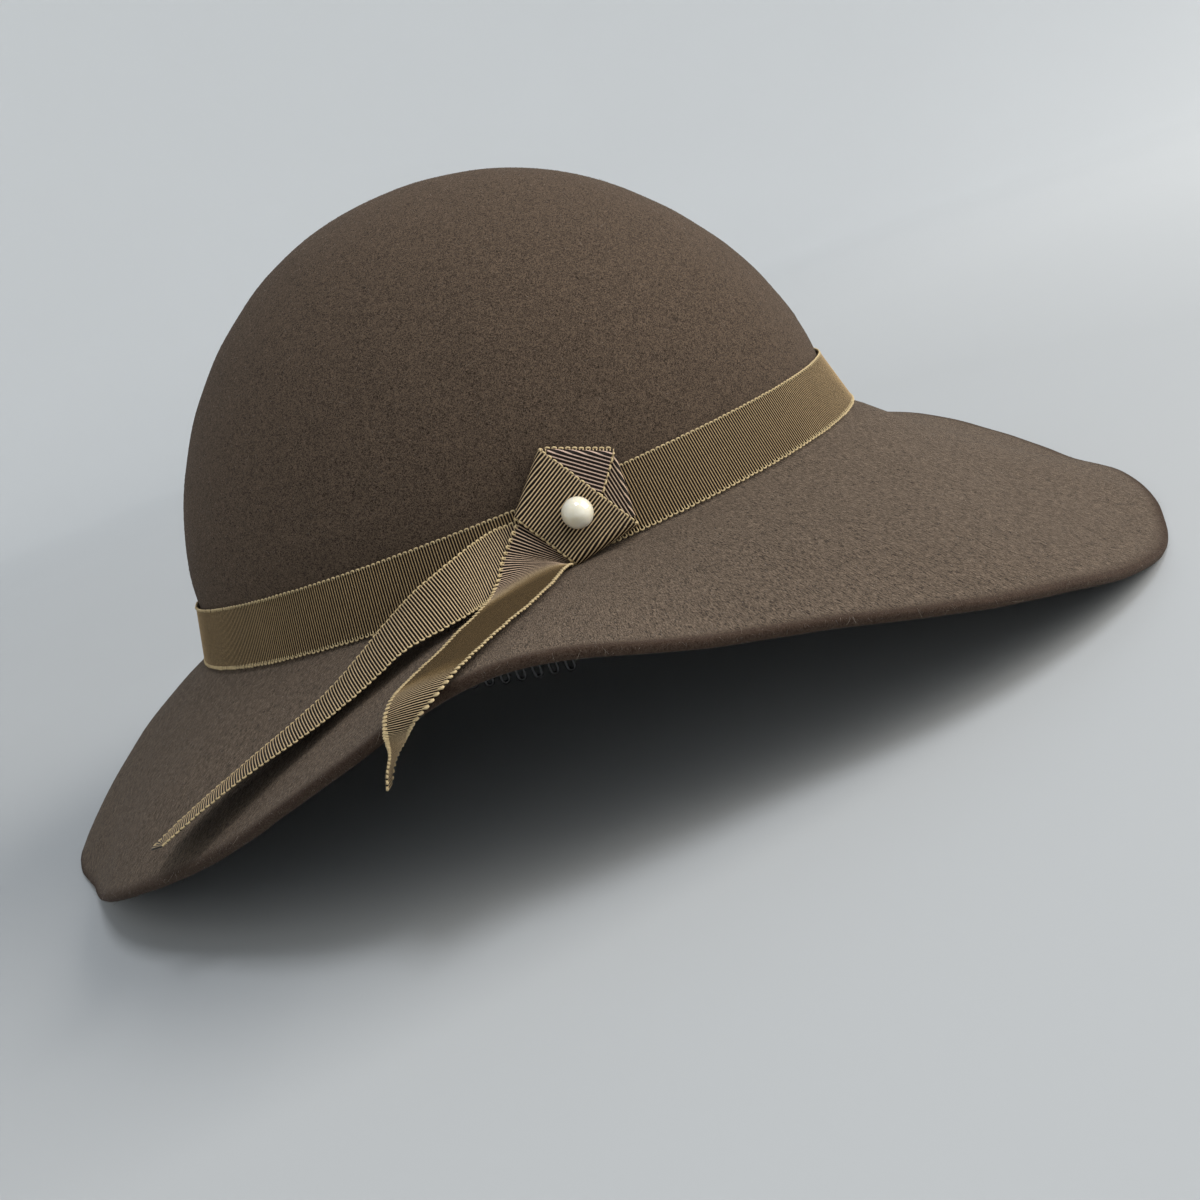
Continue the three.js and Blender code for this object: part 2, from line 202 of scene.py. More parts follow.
def make_piece(name, points, faces, material, uv=None, marks=None, stands_for=()):
    """A smooth mesh from points in the hat's frame, riding on the hat. uv and marks are per point."""
    where = placed(points)
    faces = turned_out(where - where.mean(0), [np.asarray(f) for f in faces if len(f)])
    mesh = bpy.data.meshes.new(name)
    mesh.vertices.add(len(where))
    mesh.vertices.foreach_set("co", where.astype(np.float32).ravel())
    corners = np.concatenate([f.ravel() for f in faces])
    sizes = np.concatenate([np.full(len(f), f.shape[1]) for f in faces])
    mesh.loops.add(len(corners))
    mesh.loops.foreach_set("vertex_index", corners.astype(np.int32))
    mesh.polygons.add(len(sizes))
    mesh.polygons.foreach_set("loop_start", np.concatenate([[0], np.cumsum(sizes)[:-1]]).astype(np.int32))
    mesh.polygons.foreach_set("use_smooth", np.ones(len(sizes), bool))
    if uv is not None:
        layer = mesh.uv_layers.new(name="weave")
        layer.data.foreach_set("uv", np.asarray(uv, float)[corners].astype(np.float32).ravel())
    for mark, values in (marks or {}).items():
        mesh.attributes.new(mark, "FLOAT", "POINT").data.foreach_set("value", np.asarray(values, np.float32))
    mesh.update(calc_edges=True)
    mesh.validate()
    mesh.materials.append(material)
    piece = bpy.data.objects.new(name, mesh)
    bpy.context.scene.collection.objects.link(piece)
    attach(piece, "root")
    if stands_for:
        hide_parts(*stands_for)
    return piece


def closed_tube(rings, first_end, last_end):
    """Points and faces of a tube of rings, each end closed by a fan round one point."""
    rows, columns = rings.shape[:2]
    points = np.concatenate([rings.reshape(-1, 3), [first_end, last_end]])
    k = np.arange(columns)
    k_next = (k + 1) % columns
    last = (rows - 1) * columns
    hub = np.full(columns, rows * columns)
    fans = np.concatenate([np.stack([hub, k_next, k], -1), np.stack([hub + 1, last + k, last + k_next], -1)])
    return points, [grid_faces(rows, columns, ring_columns=True), fans]


def round_rings(path, side, square, radius, sides):
    """Rings of points round a path, from two directions square to it at each of its points."""
    turn = np.arange(sides)[:, None] * 2 * math.pi / sides
    spoke = side[..., None, :] * np.cos(turn) + square[..., None, :] * np.sin(turn)
    return path[..., None, :] + radius * spoke


def wire(path, radius, sides):
    """A round wire along a path, closed at both ends."""
    path = np.asarray(path, float)
    run = unit(np.gradient(path, axis=0))
    across = np.zeros_like(run)
    guide = np.array([0.31, 0.17, 0.93])
    for i, way in enumerate(run):
        guide = unit(guide - way * (guide @ way))
        across[i] = guide
    return closed_tube(round_rings(path, across, np.cross(run, across), radius, sides), path[0], path[-1])


def joined(bodies):
    """Several closed bodies, each (points, faces), as one."""
    points, quads, triangles, start = [], [], [], 0
    for body_points, body_faces in bodies:
        for group in turned_out(body_points - body_points.mean(0), body_faces):
            (quads if group.shape[1] == 4 else triangles).append(group + start)
        points.append(body_points)
        start += len(body_points)
    faces = [np.concatenate(group) for group in (quads, triangles) if group]
    return np.concatenate(points), faces


def smooth_through(rows, t):
    """Points at shares t of a smooth curve through rows of points, evenly by row."""
    rows = np.asarray(rows, float)
    count = len(rows)
    held = np.vstack([2 * rows[0] - rows[1], rows, 2 * rows[-1] - rows[-2]])
    place = np.clip(np.asarray(t) * (count - 1), 0, count - 1 - 1e-9)
    k = place.astype(int)
    w = (place - k)[..., None]
    p0, p1, p2, p3 = held[k], held[k + 1], held[k + 2], held[k + 3]
    d0, d1, d2 = (np.sqrt(np.linalg.norm(b - a, axis=-1, keepdims=True))
                  for a, b in ((p0, p1), (p1, p2), (p2, p3)))
    m1 = ((p1 - p0) / d0 - (p2 - p0) / (d0 + d1) + (p2 - p1) / d1) * d1
    m2 = ((p2 - p1) / d1 - (p3 - p1) / (d1 + d2) + (p3 - p2) / d2) * d1
    return ((2 * w ** 3 - 3 * w ** 2 + 1) * p1 + (w ** 3 - 2 * w ** 2 + w) * m1
            + (3 * w ** 2 - 2 * w ** 3) * p2 + (w ** 3 - w ** 2) * m2)


# --------------------------------------------------------------- the felt body

felt_columns = 360
top_ring_climb = 88.4
cut_depth, cut_squareness = 1.2, 0.72
# The rings of the felt's points beside the ribbon, those it hides, and how many lie under the brim.
ribbon_rings, hidden_rings = slice(50, 70), slice(53, 66)
underside_rings = 40


def round_the_brim(column, azimuth):
    """A smooth closed curve through one column of the brim's table."""
    at, value = (np.array(brim_rows, float)[:, brim_columns.index(name)] for name in ("azimuth", column))
    count = len(at)
    azimuth = np.asarray(azimuth, float) % 360
    i = np.searchsorted(at, azimuth, side="right") - 1

    def spot(k):
        return at[k % count] + 360 * (k // count)

    def height(k):
        return value[k % count]

    def slope(k):
        before, after = spot(k) - spot(k - 1), spot(k + 1) - spot(k)
        rise_before, rise_after = (height(k) - height(k - 1)) / before, (height(k + 1) - height(k)) / after
        return (rise_before * after + rise_after * before) / (before + after)

    step = spot(i + 1) - spot(i)
    t = (azimuth - spot(i)) / step
    s = 1 - t
    return ((1 + 2 * t) * s * s * height(i) + t * s * s * step * slope(i)
            + t * t * (3 - 2 * t) * height(i + 1) - t * t * s * step * slope(i + 1))


def brim_point(azimuth, share):
    """The brim's upper face, a share of its width out from the crown."""
    width = round_the_brim("width", azimuth)
    fall_in = np.radians(round_the_brim("fall_in", azimuth))
    fall_out = np.radians(round_the_brim("fall_out", azimuth))
    turn = fall_out - fall_in
    turn = np.where(np.abs(turn) < 1e-6, 1e-6, turn)
    fall = fall_in + turn * share
    out = width * (np.sin(fall) - np.sin(fall_in)) / turn
    down = width * (np.cos(fall_in) - np.cos(fall)) / turn
    point = band_point(azimuth, head_line, -behind_ribbon) + outward(azimuth) * out[..., None]
    point[..., 2] = head_line - down
    return point


def dome_point(azimuth, climb):
    a = np.radians(azimuth)
    rise = math.sin(climb) ** (2 / dome_height_power)
    spread = max(math.cos(climb), 1e-9) ** (2 / dome_width_power)
    length = (band_high["half_length"] - behind_ribbon) * spread
    width = (band_high["half_width"] - behind_ribbon) * spread
    return xyz(length * np.cos(a), width * np.sin(a), mix(band_high["z"], crown_top, rise))


def head_line_point(azimuth, t):
    """The rounded inner corner where the crown's wall turns into the brim."""
    wall = band_point(azimuth, head_line + head_line_round, -behind_ribbon)
    corner = band_point(azimuth, head_line, -behind_ribbon)
    brim = brim_point(azimuth, head_line_round / round_the_brim("width", azimuth))
    return wall * (1 - t) ** 2 + corner * 2 * t * (1 - t) + brim * t * t


def felt_outer_rings():
    """Rings of points over the felt's outer face, from the crown's top to the cut edge."""
    azimuth = np.arange(felt_columns) * 360 / felt_columns
    width = round_the_brim("width", azimuth)
    rings = [dome_point(azimuth, math.radians(c)) for c in np.linspace(top_ring_climb, 0.0, 58)]
    rings += [band_point(azimuth, z, -behind_ribbon) for z in (14.5, 12, 9, 6, 3.2)]
    rings += [head_line_point(azimuth, t) for t in (0, 0.2, 0.4, 0.6, 0.8, 1)]
    start, end = head_line_round / width, 1 - cut_depth / width
    rings += [brim_point(azimuth, mix(start, end, t)) for t in np.linspace(0, 1, 52)[1:]]
    return np.array(rings)


def square_to(rings):
    """Directions square to a grid of rings that runs from the crown's top out."""
    down = np.gradient(rings, axis=0)
    left = np.roll(rings, -1, 1) - np.roll(rings, 1, 1)
    facing = unit(np.cross(left, -down))
    return np.where(facing[..., 2:].mean() > 0, facing, -facing)


def pressed_level(points):
    """The felt is pressed level where it rests, and eases up within a millimetre of that."""
    resting = placed(points) * 1000
    height = resting[:, 2]
    resting[:, 2] = np.where(np.abs(height) < 1, (height + 1) ** 2 / 4, np.maximum(height, 0.0))
    return (resting - lift_mm) @ lean


def felt_body(material):
    """One felt wall from the crown's top to the cut edge and back inside, rounded at the cut."""
    outer = felt_outer_rings()
    # Steam blocking leaves the felt a fraction of a millimetre out of true, though not at the ribbon.
    swell = (0.35 * unevenness(outer, wavelength=62, seed=3)
             + 0.12 * unevenness(outer, wavelength=19, seed=4))
    swell[ribbon_rings] *= 0.1
    outer = outer + square_to(outer) * swell[..., None]
    facing = square_to(outer)
    half = felt_thickness / 2
    middle = outer[-1] - facing[-1] * half
    out = unit(outer[-1] - outer[-2])
    cut = []
    for turn in np.linspace(0, math.pi, 11)[1:-1]:
        over = math.copysign(abs(math.cos(turn)) ** cut_squareness, math.cos(turn))
        cut.append(middle + facing[-1] * half * over + out * cut_depth * math.sin(turn) ** cut_squareness)
    keep = sorted(set(range(0, len(outer), 2)) | {len(outer) - 1})
    inner = (outer - facing * felt_thickness)[keep][::-1]
    rings = np.concatenate([outer, cut, inner])
    swollen = rings[0][:, 2].mean() - dome_point(np.zeros(1), math.radians(top_ring_climb))[0, 2]
    top = crown_top + swollen
    points, faces = closed_tube(rings, [0, 0, top], [0, 0, top - felt_thickness])
    points = pressed_level(points)
    cut_edge = np.zeros(len(rings))
    cut_edge[len(outer) - 1:len(outer) + len(cut) + 1] = 1.0
    cut_edge[len(outer) - 2] = 0.4
    brim = np.clip((head_line + 2 - rings[..., 2].mean(1)) / 2, 0, 1)
    brim[len(outer):] = 0.0
    brim[len(outer):len(outer) + underside_rings] = 1.0
    marks = {name: np.append(np.repeat(share, felt_columns), [0, 0])
             for name, share in (("cut_edge", cut_edge), ("brim", brim))}
    make_piece("felt_shell", points, faces, material, marks=marks, stands_for=["felt_body"])
    return points, faces[0], len(outer)


def fibres(name, points, quads, share_outside, count, length, radius, lie, seed, material, bends=0):
    """Loose wool ends that stand a little off the felt: thin closed spikes, brushed outward on the brim."""
    random = np.random.default_rng(seed)
    a, b, c, d = (points[quads[:, i]] for i in range(4))
    square = np.cross(c - a, d - b)
    weight = np.linalg.norm(square, axis=1) * share_outside
    picked = random.choice(len(quads), count, p=weight / weight.sum())
    u, v = random.random((2, count, 1))
    root = mix(mix(a[picked], b[picked], u), mix(d[picked], c[picked], u), v)
    up = unit(square[picked])
    brushed = np.where(root[:, 2:] < 0, unit(root * [1, 1, 0]) * 1.6, 0)
    side = unit(np.cross(up, np.cross(random.normal(size=(count, 3)) + brushed, up)))
    tilt = np.radians(random.uniform(*lie, (count, 1)))
    way = side * np.cos(tilt) + up * np.sin(tilt)
    # Each end bows sideways and droops, and tapers towards its tip.
    bow = unit(np.cross(up, side)) * random.normal(0, 0.5, (count, 1))
    bow = bow - up * random.uniform(0.1, 0.5, (count, 1))
    reach = random.uniform(*length, (count, 1))
    thick = random.uniform(*radius, (count, 1))
    across = unit(np.cross(way, up))
    other = np.cross(way, across)
    steps = bends + 1
    rings = []
    for t in np.arange(steps) / steps:
        spine = root - up * 0.05 + way * reach * t + bow * reach * t * t * 0.6
        for turn in np.radians([0, 120, 240]):
            rings.append(spine + (across * math.cos(turn) + other * math.sin(turn)) * thick * (1 - 0.6 * t))
    tip = root + way * reach + bow * reach * 0.6
    cloud = np.stack([*rings, tip], 1)
    clear = placed(cloud)[..., 2].min(1) > 0.0001
    cloud, way = cloud[clear], way[clear]
    base, tip = 3 * bends, 3 * steps
    spike = [(0, 2, 1)]
    for p in range(base):
        q = p + 1 if p % 3 < 2 else p - 2
        spike += [(p, q, q + 3), (p, q + 3, p + 3)]
    spike += [(base + k, base + (k + 1) % 3, tip) for k in range(3)]
    triangles = np.arange(len(cloud))[:, None, None] * (tip + 1) + np.array(spike)
    first = np.cross(cloud[:, 1] - cloud[:, 0], cloud[:, 2] - cloud[:, 0])
    inside_out = np.einsum("ij,ij->i", first, way) <= 0
    triangles[inside_out] = triangles[inside_out][:, :, ::-1]
    make_piece(name, cloud.reshape(-1, 3), [triangles.reshape(-1, 3)], material)


# ------------------------------------------------------------ the ribbed ribbon

# Across one cord's share of the ribbon: where its points stand, and how high they rise.
rib_steps = np.array([0.0, 0.22, 0.27, 0.37, 0.5, 0.63, 0.73, 0.78])
rib_rise = np.array([0.0, 0.0, 0.5, 0.87, 1.0, 0.87, 0.5, 0.0])
cord_height = 0.24
ground_depth = 0.52
loop_radius = 0.21
loop_sides = 5
# An edge loop's outline: along the edge in cord steps, and outward as a share of its reach.
loop_outline = np.array([(0.5, -0.9), (0.53, -0.1), (0.6, 0.3), (0.57, 0.7), (0.36, 0.96), (0.0, 1.06)])
loop_outline = np.vstack([loop_outline * [-1, 1], loop_outline[-2::-1]])


def along_each_cord(along, low, top, count, bends):
    """Where the points of each cord stand: close together at its ends and where the ribbon bends."""
    length = top - low
    ends = np.array([0.0, 0.2])[:, None] * np.minimum(1, length / 2)
    start, stop = low + ends[-1] * 2, top - ends[-1] * 2
    share = np.linspace(0, 1, 161)
    w = mix(start, stop, share[:, None])
    weight = 1 + (bends(along + 0 * w, w) if bends else 0 * w)
    total = np.concatenate([np.zeros((1, w.shape[1])), np.cumsum((weight[1:] + weight[:-1]) / 2, axis=0)])
    total = total / total[-1]
    picks = np.linspace(0, 1, count)
    inner = np.stack([np.interp(picks, total[:, c], share) for c in range(w.shape[1])], 1)
    return np.concatenate([low + ends, mix(start, stop, inner), top - ends[::-1]])


def not_pressed(along, across):
    """For a ribbon that lies free: 0 at every distance along and across it."""
    return 0 * along


def woven_face(ribs, face, reach, pitch, across, ring, bends, pressed):
    """Round cords over a thin ground: points and faces, weave map, and how far each point is pressed, a value
    that also paints its cords darker above 0, painted shade, and paler below 0, a painted sheen.
    """
    first_rib, last_rib = ribs
    count = last_rib - first_rib
    along = (first_rib + np.arange(count)[:, None] + rib_steps[None]).ravel() * pitch
    rise = np.tile(rib_rise, count)
    if not ring:
        along, rise = np.append(along, last_rib * pitch), np.append(rise, 0.0)
    front = along_each_cord(along, *reach(along), across, bends)
    back = front[::-1][::1 if bends else 3]
    fade = np.ones(len(front))
    fade[[0, -1]] = 0.4
    rows, uv, lies = [], [], []
    for number, w in enumerate(np.concatenate([front, back])):
        spot, square = face(along, w)
        lie = pressed(along, w)
        depth = np.full(len(along), ground_depth)
        if number < len(front):
            depth = (1 - rise * fade[number] * (1 - 0.7 * np.maximum(lie, 0))) * cord_height
        rows.append(spot - square * depth[:, None])
        uv.append(np.stack([along / pitch, w / 10], -1))
        lies.append(lie)
    rings, uv, lies = (np.stack(values, 1) for values in (rows, uv, lies))
    size = rings.shape[1]
    if ring:
        faces = [grid_faces(len(along), size, ring_rows=True, ring_columns=True)]
        return (rings.reshape(-1, 3), faces), uv.reshape(-1, 2), lies.ravel()
    body = closed_tube(rings, rings[0].mean(0), rings[-1].mean(0))
    return body, np.concatenate([uv.reshape(-1, 2), [uv[0, 0], uv[-1, 0]]]), np.append(lies, [0, 0])


def edge_loops(edge, ribs, place, face, reach, pitch, ring, loops, loop_reach, loop_shape, random):
    """Small loops that join each pair of cords along one woven edge: points and faces, and weave map."""
    first_rib, last_rib = ribs
    low_edge = edge == "low"
    first_pair = first_rib + (first_rib + (not low_edge)) % 2
    middle = (np.arange(first_pair, last_rib - (not ring), 2) + 1.0) * pitch
    if loops:
        middle = middle[loops(middle, edge)]
    if not len(middle):
        return None
    count = len(middle)
    w = reach(middle)[0 if low_edge else 1]
    leave = unit(place(middle, w + 0.05) - place(middle, w - 0.05)) * (-1 if low_edge else 1)
    _, square = face(middle, w)
    # No two loops are quite alike in depth, reach and lean.
    wander = random.normal(0, 0.035, (count, 1))
    far = loop_reach[0 if low_edge else 1] * random.uniform(0.85, 1.18, (count, 1))
    lean_over = random.normal(0.1, 0.04, (count, 1))
    path = []
    for step, out in loop_outline:
        sunk = cord_height * 0.55 + wander - lean_over * step
        base = place(middle + step * pitch * loop_shape[0], w) - square * sunk
        path.append(base + leave * (far * out if out > 0 else out * 0.4))
    path = np.stack(path, 1)
    run = unit(np.gradient(path, axis=1))
    square = square[:, None]
    thick = loop_radius * loop_shape[1] * (0.8 + 0.4 * np.clip(loop_outline[:, 1], 0, 1))[:, None, None]
    tube = round_rings(path, unit(np.cross(square + 0 * run, run)), square, thick, loop_sides)
    length = tube.shape[1]
    cap = np.array([[0, k + 1, k] for k in range(1, loop_sides - 1)])
    caps = np.concatenate([cap, cap[:, ::-1] + (length - 1) * loop_sides])
    start = np.arange(count)[:, None, None] * (length * loop_sides)
    sheath = grid_faces(length, loop_sides, ring_columns=True)
    faces = [(sheath + start).reshape(-1, 4), (caps + start).reshape(-1, 3)]
    uv = np.stack([middle / pitch + 0.5, w / 10], -1)
    return (tube.reshape(-1, 3), faces), np.repeat(uv, length * loop_sides, axis=0)


def ribbed_ribbon(name, ribs, place, reach, material, pitch=rib_pitch, across=7, facing=1.0, ring=False,
                  bends=None, pressed=not_pressed, loops=None, loop_reach=(0.5, 0.36), loop_shape=(1.0, 1.0),
                  stands_for=(), seed=1):
    """A woven strip whose cords run straight across it and turn back in small loops at its edges.

    place(along, across) gives points of the front face for distances in mm; reach(along) gives
    where the strip's low and top edges stand there. Each cord is a round ridge over a thin
    ground, and each pair of cords is joined at the edge, low edge and top edge in turn.
    pressed(along, across) is 1 where the ribbon is pressed flat and below 0 where its cords
    are drawn apart and stand free; the material also paints the cords darker above 0, painted
    shade, and paler and rosier below 0, a painted sheen. loops(along, edge) says where an edge
    is a woven one. The loops are loop_shape times as wide and as thick as usual.
    """
    def face(a, w):
        step = 0.05
        run = place(a + step, w) - place(a - step, w)
        rib = place(a, w + step) - place(a, w - step)
        return place(a, w), unit(np.cross(run, rib)) * facing

    body, uv, lies = woven_face(ribs, face, reach, pitch, across, ring, bends, pressed)
    bodies, uvs = [body], [uv]
    random = np.random.default_rng(seed)
    for edge in ("low", "top"):
        made = edge_loops(edge, ribs, place, face, reach, pitch, ring, loops, loop_reach, loop_shape, random)
        if made:
            bodies.append(made[0])
            uvs.append(made[1])
    points, faces = joined(bodies)
    on_loops = len(points) - len(lies)
    marks = {"edge_loop": np.repeat([0.0, 1.0], [len(lies), on_loops]),
             "pressed": np.append(lies, np.zeros(on_loops))}
    return make_piece(name, points, faces, material, uv=np.concatenate(uvs), marks=marks,
                      stands_for=stands_for)


def band(material):
    """The ribbon round the crown's foot, pulled snug, its lower edge on the head line."""
    steps = np.linspace(0, 360, 1441)
    line = band_point(steps, 9.0)
    length = np.concatenate([[0], np.cumsum(np.linalg.norm(np.diff(line, axis=0), axis=1))])
    ribs = int(round(length[-1] / rib_pitch / 2)) * 2
    pitch = length[-1] / ribs
    low_z, top_z = 0.75, 16.85

    def place(along, across):
        azimuth = np.interp(along % length[-1], length, steps)
        z = np.broadcast_to(across, azimuth.shape)
        snug = 0.1 * np.sin(np.radians(azimuth) * 9 + 1) * (z / 17)
        return band_point(azimuth, z, snug)

    def reach(along):
        return low_z + 0 * along, top_z + 0 * along

    # Pulled snug, its cords sit a little lower; the same pressed value of 0.35 also paints them darker and
    # more olive, painted shade.
    piece = ribbed_ribbon("band_ribbed", (0, ribs), place, reach, material, pitch=pitch, across=2, ring=True,
                          pressed=lambda along, across: 0.35 + 0 * along, loop_reach=(0.6, 0.36),
                          stands_for=["ribbon_band"], seed=11)


# --------------------------------------------------------------------- the knot

def knot_axes():
    """The knot's own axes: along the band to the front, up the band, and out."""
    middle = band_point(np.array(knot_azimuth), knot_height)
    up = unit(band_point(np.array(knot_azimuth), knot_height + 1) - middle)
    along = unit(np.cross([0, 0, 1], outward(np.array(knot_azimuth))))
    return middle, along, up, unit(np.cross(along, up))


knot_middle, knot_along, knot_up, knot_out = knot_axes()


def on_knot(along, up, out):
    along, up, out = (np.asarray(v, float)[..., None] for v in (along, up, out))
    return knot_middle + along * knot_along + up * knot_up + out * knot_out


def pentagon_corners():
    """Corners A to E, clockwise from the knot's top as seen from outside."""
    turns = np.radians(knot_turn - 72 * np.arange(5))
    return knot_radius * np.stack([np.cos(turns), np.sin(turns)], -1)


corner_a, corner_b, corner_c, corner_d, corner_e = pentagon_corners()


class KnotLayer:
    """One flat run of ribbon in the knot: parallel cords, two woven edges, and folds that roll back."""

    def __init__(self, rib_angle, low_edge, width, height, folds, roll=0.7, puff=0.3, dimple=0.0,
                 pitch=knot_rib_pitch, loose=0.0):
        turn = math.radians(rib_angle)
        self.rib = np.array([math.cos(turn), math.sin(turn)])
        self.run = np.array([math.sin(turn), -math.cos(turn)])
        self.low = float(low_edge @ self.rib)
        self.width = width
        self.height = height
        self.roll = roll
        self.puff = puff
        self.dimple = dimple
        self.pitch = pitch
        # loose is painted light only: it paints the layer's cords paler and a little rosy, a painted sheen,
        # and narrows their bright tops so that more painted shade shows between them.
        self.loose = loose
        # A fold is a line, kept as the direction out over it and its distance from the middle.
        self.folds = []
        for start, end in folds:
            out = np.array([end[1] - start[1], start[0] - end[0]])
            out = out / np.linalg.norm(out)
            if out @ (start + end) < 0:
                out = -out
            self.folds.append((out, float(out @ start) - roll))

    def flat(self, along, across):
        along = np.asarray(along, float)
        return along[..., None] * self.run + np.broadcast_to(across, along.shape)[..., None] * self.rib

    def place(self, along, across):
        flat = self.flat(along, across)
        distance = np.linalg.norm(flat, axis=-1) / knot_radius
        height = self.height + self.puff * np.clip(1 - distance ** 2, 0, 1)
        from_pearl = np.linalg.norm(flat - np.array(pearl_place), axis=-1)
        height = height - self.dimple * np.exp(-(from_pearl / 4.5) ** 2)
        for out, edge in self.folds:
            over = flat @ out - edge
            turn = np.clip(over / self.roll, 0, math.pi)
            back = np.maximum(over - math.pi * self.roll, 0)
            flat = np.where((over > 0)[..., None],
                            flat + out * (self.roll * np.sin(turn) - back - over)[..., None], flat)
            height = height - self.roll * (1 - np.cos(turn))
        return on_knot(flat[..., 0], flat[..., 1], height)

    def bends(self, along, across):
        """Large where the strip rolls over a fold, so that more of its points go there."""
        flat = self.flat(along, across)
        return sum(6.0 * (flat @ out > edge - 0.3) for out, edge in self.folds) + 0 * along

    def reach(self, hidden):
        """The cords' ends: the woven edges, or where the strip stops behind a fold or at a hidden cut."""
        limits = [(out, edge + 2.9 * self.roll) for out, edge in self.folds] + list(hidden)

        def ends(along):
            low, top = np.full(along.shape, self.low), np.full(along.shape, self.low + self.width)
            for out, edge in limits:
                slope, start = float(self.rib @ out), along * float(self.run @ out)
                if abs(slope) < 1e-9:
                    continue
                cross = (edge - start) / slope
                if slope > 0:
                    top = np.minimum(top, cross)
                else:
                    low = np.maximum(low, cross)
            return low, np.maximum(top, low + 0.3)
        return ends

    def ribs_between(self, start, end):
        """The whole cords that stand between two points of the knot."""
        along = sorted(float(p @ self.run) / self.pitch for p in (start, end))
        return math.ceil(along[0]), math.floor(along[1])

    def rib_range(self, ends):
        """The first and last whole cords that have some length."""
        ribs = np.arange(-60, 60)
        low, top = ends((ribs + 0.5) * self.pitch)
        long_enough = ribs[top - low > 1.2]
        return int(long_enough.min()), int(long_enough.max()) + 1


def line_limit(start, end, inside, inward=0.0):
    """A hidden cut along a line, keeping the side where the point inside is."""
    out = np.array([end[1] - start[1], start[0] - end[0]])
    out = out / np.linalg.norm(out)
    if out @ (np.asarray(inside) - start) > 0:
        out = -out
    return out, float(out @ start) - inward


def knot_strip(name, layer, hidden, material, stands_for, seed, rows=26, ribs=None):
    ends = layer.reach(hidden)
    ribs = ribs or layer.rib_range(ends)

    def woven(middle, edge):
        low, top = ends(middle)
        at = low - layer.low if edge == "low" else layer.low + layer.width - top
        return np.abs(at) < 0.05

    # The layer's loose value goes in as a pressed value below 0, which paints its cords paler and rosier, a
    # painted sheen, with narrower bright tops.
    piece = ribbed_ribbon(name, ribs, layer.place, ends, material, pitch=layer.pitch, across=rows,
                          facing=-1.0, bends=layer.bends if layer.folds else None, loops=woven,
                          pressed=lambda along, across: 0 * along - layer.loose,
                          loop_reach=(0.36, 0.36), loop_shape=(1.0, 1.25), stands_for=stands_for, seed=seed)


def knot(material):
    """The strip passes behind, folds at the top and the front side, and wraps over the front."""
    edge_in = 0.45
    body = ribbon_width - 2 * edge_in
    # The heart is the hidden point where the edges of the top fold and the side fold meet.
    heart = np.array([5.85, -2.2])
    centre = np.zeros(2)

    def rib_angle(start, end):
        """Cords stand square to a woven edge."""
        way = end - start
        return math.degrees(math.atan2(way[1], way[0])) + 90

    def direction(angle):
        return np.array([math.cos(math.radians(angle)), math.sin(math.radians(angle))])

    wrap_angle = rib_angle(corner_a, corner_c)
    wrap_rib = direction(wrap_angle)
    wrap = KnotLayer(wrap_angle, corner_e + wrap_rib * edge_in, body, height=wrap_height,
                     folds=[(corner_e, corner_a), (corner_c, corner_d)], roll=1.7, puff=0.45, dimple=0.4)
    knot_strip("knot_wrap_ribbed", wrap, [], material, ["knot_wrap"], 21, rows=32)

    top_angle = 140
    top_rib = direction(top_angle)
    top = KnotLayer(top_angle, corner_b + top_rib * edge_in, body, height=2.75, folds=[(corner_a, corner_b)],
                    roll=0.9, puff=0.2, pitch=0.99, loose=0.9)
    hidden = [line_limit(corner_a + wrap_rib * -5, corner_c + wrap_rib * -5, corner_b),
              line_limit(corner_e, corner_a, centre, 2.0)]
    knot_strip("knot_top_fold_ribbed", top, hidden, material, ["knot_top_fold"], 22)

    side_angle = 97.5
    side_rib = direction(side_angle)
    side = KnotLayer(side_angle, corner_c + side_rib * edge_in, body, height=1.75,
                     folds=[(corner_b, corner_c)], roll=0.7, puff=0.15, loose=0.5)
    hidden = [line_limit(corner_a + wrap_rib * -3, corner_c + wrap_rib * -3, corner_b),
              line_limit(corner_b + top_rib * 5, heart + top_rib * 5, corner_c),
              line_limit(corner_c, corner_d, centre, 2.0)]
    knot_strip("knot_side_fold_ribbed", side, hidden, material, ["knot_side_fold"], 23)

    # Behind them all the strip crosses flat on the band, and its woven edge shows over the top fold.
    # It is cut back behind the knot, clear of the folds that roll under at either end.
    start, end = np.array([-2.43, 16.63]), np.array([15.38, 9.03])
    back_angle = rib_angle(start, end)
    low_edge = start - direction(back_angle) * (body + 0.4)
    back = KnotLayer(back_angle, low_edge, body, height=0.85, folds=[], puff=0.0)
    top_middle = (start + end) / 2
    hidden = [line_limit(np.array([-3.3, 15.3]), np.array([-0.6, 12.5]), top_middle),
              line_limit(np.array([15.2, 8.0]), np.array([11.5, 5.5]), top_middle)]
    knot_strip("knot_back_ribbed", back, hidden, material, [], 24, rows=8,
               ribs=back.ribs_between(start, end))


# -------------------------------------------------------------- the ribbon tails

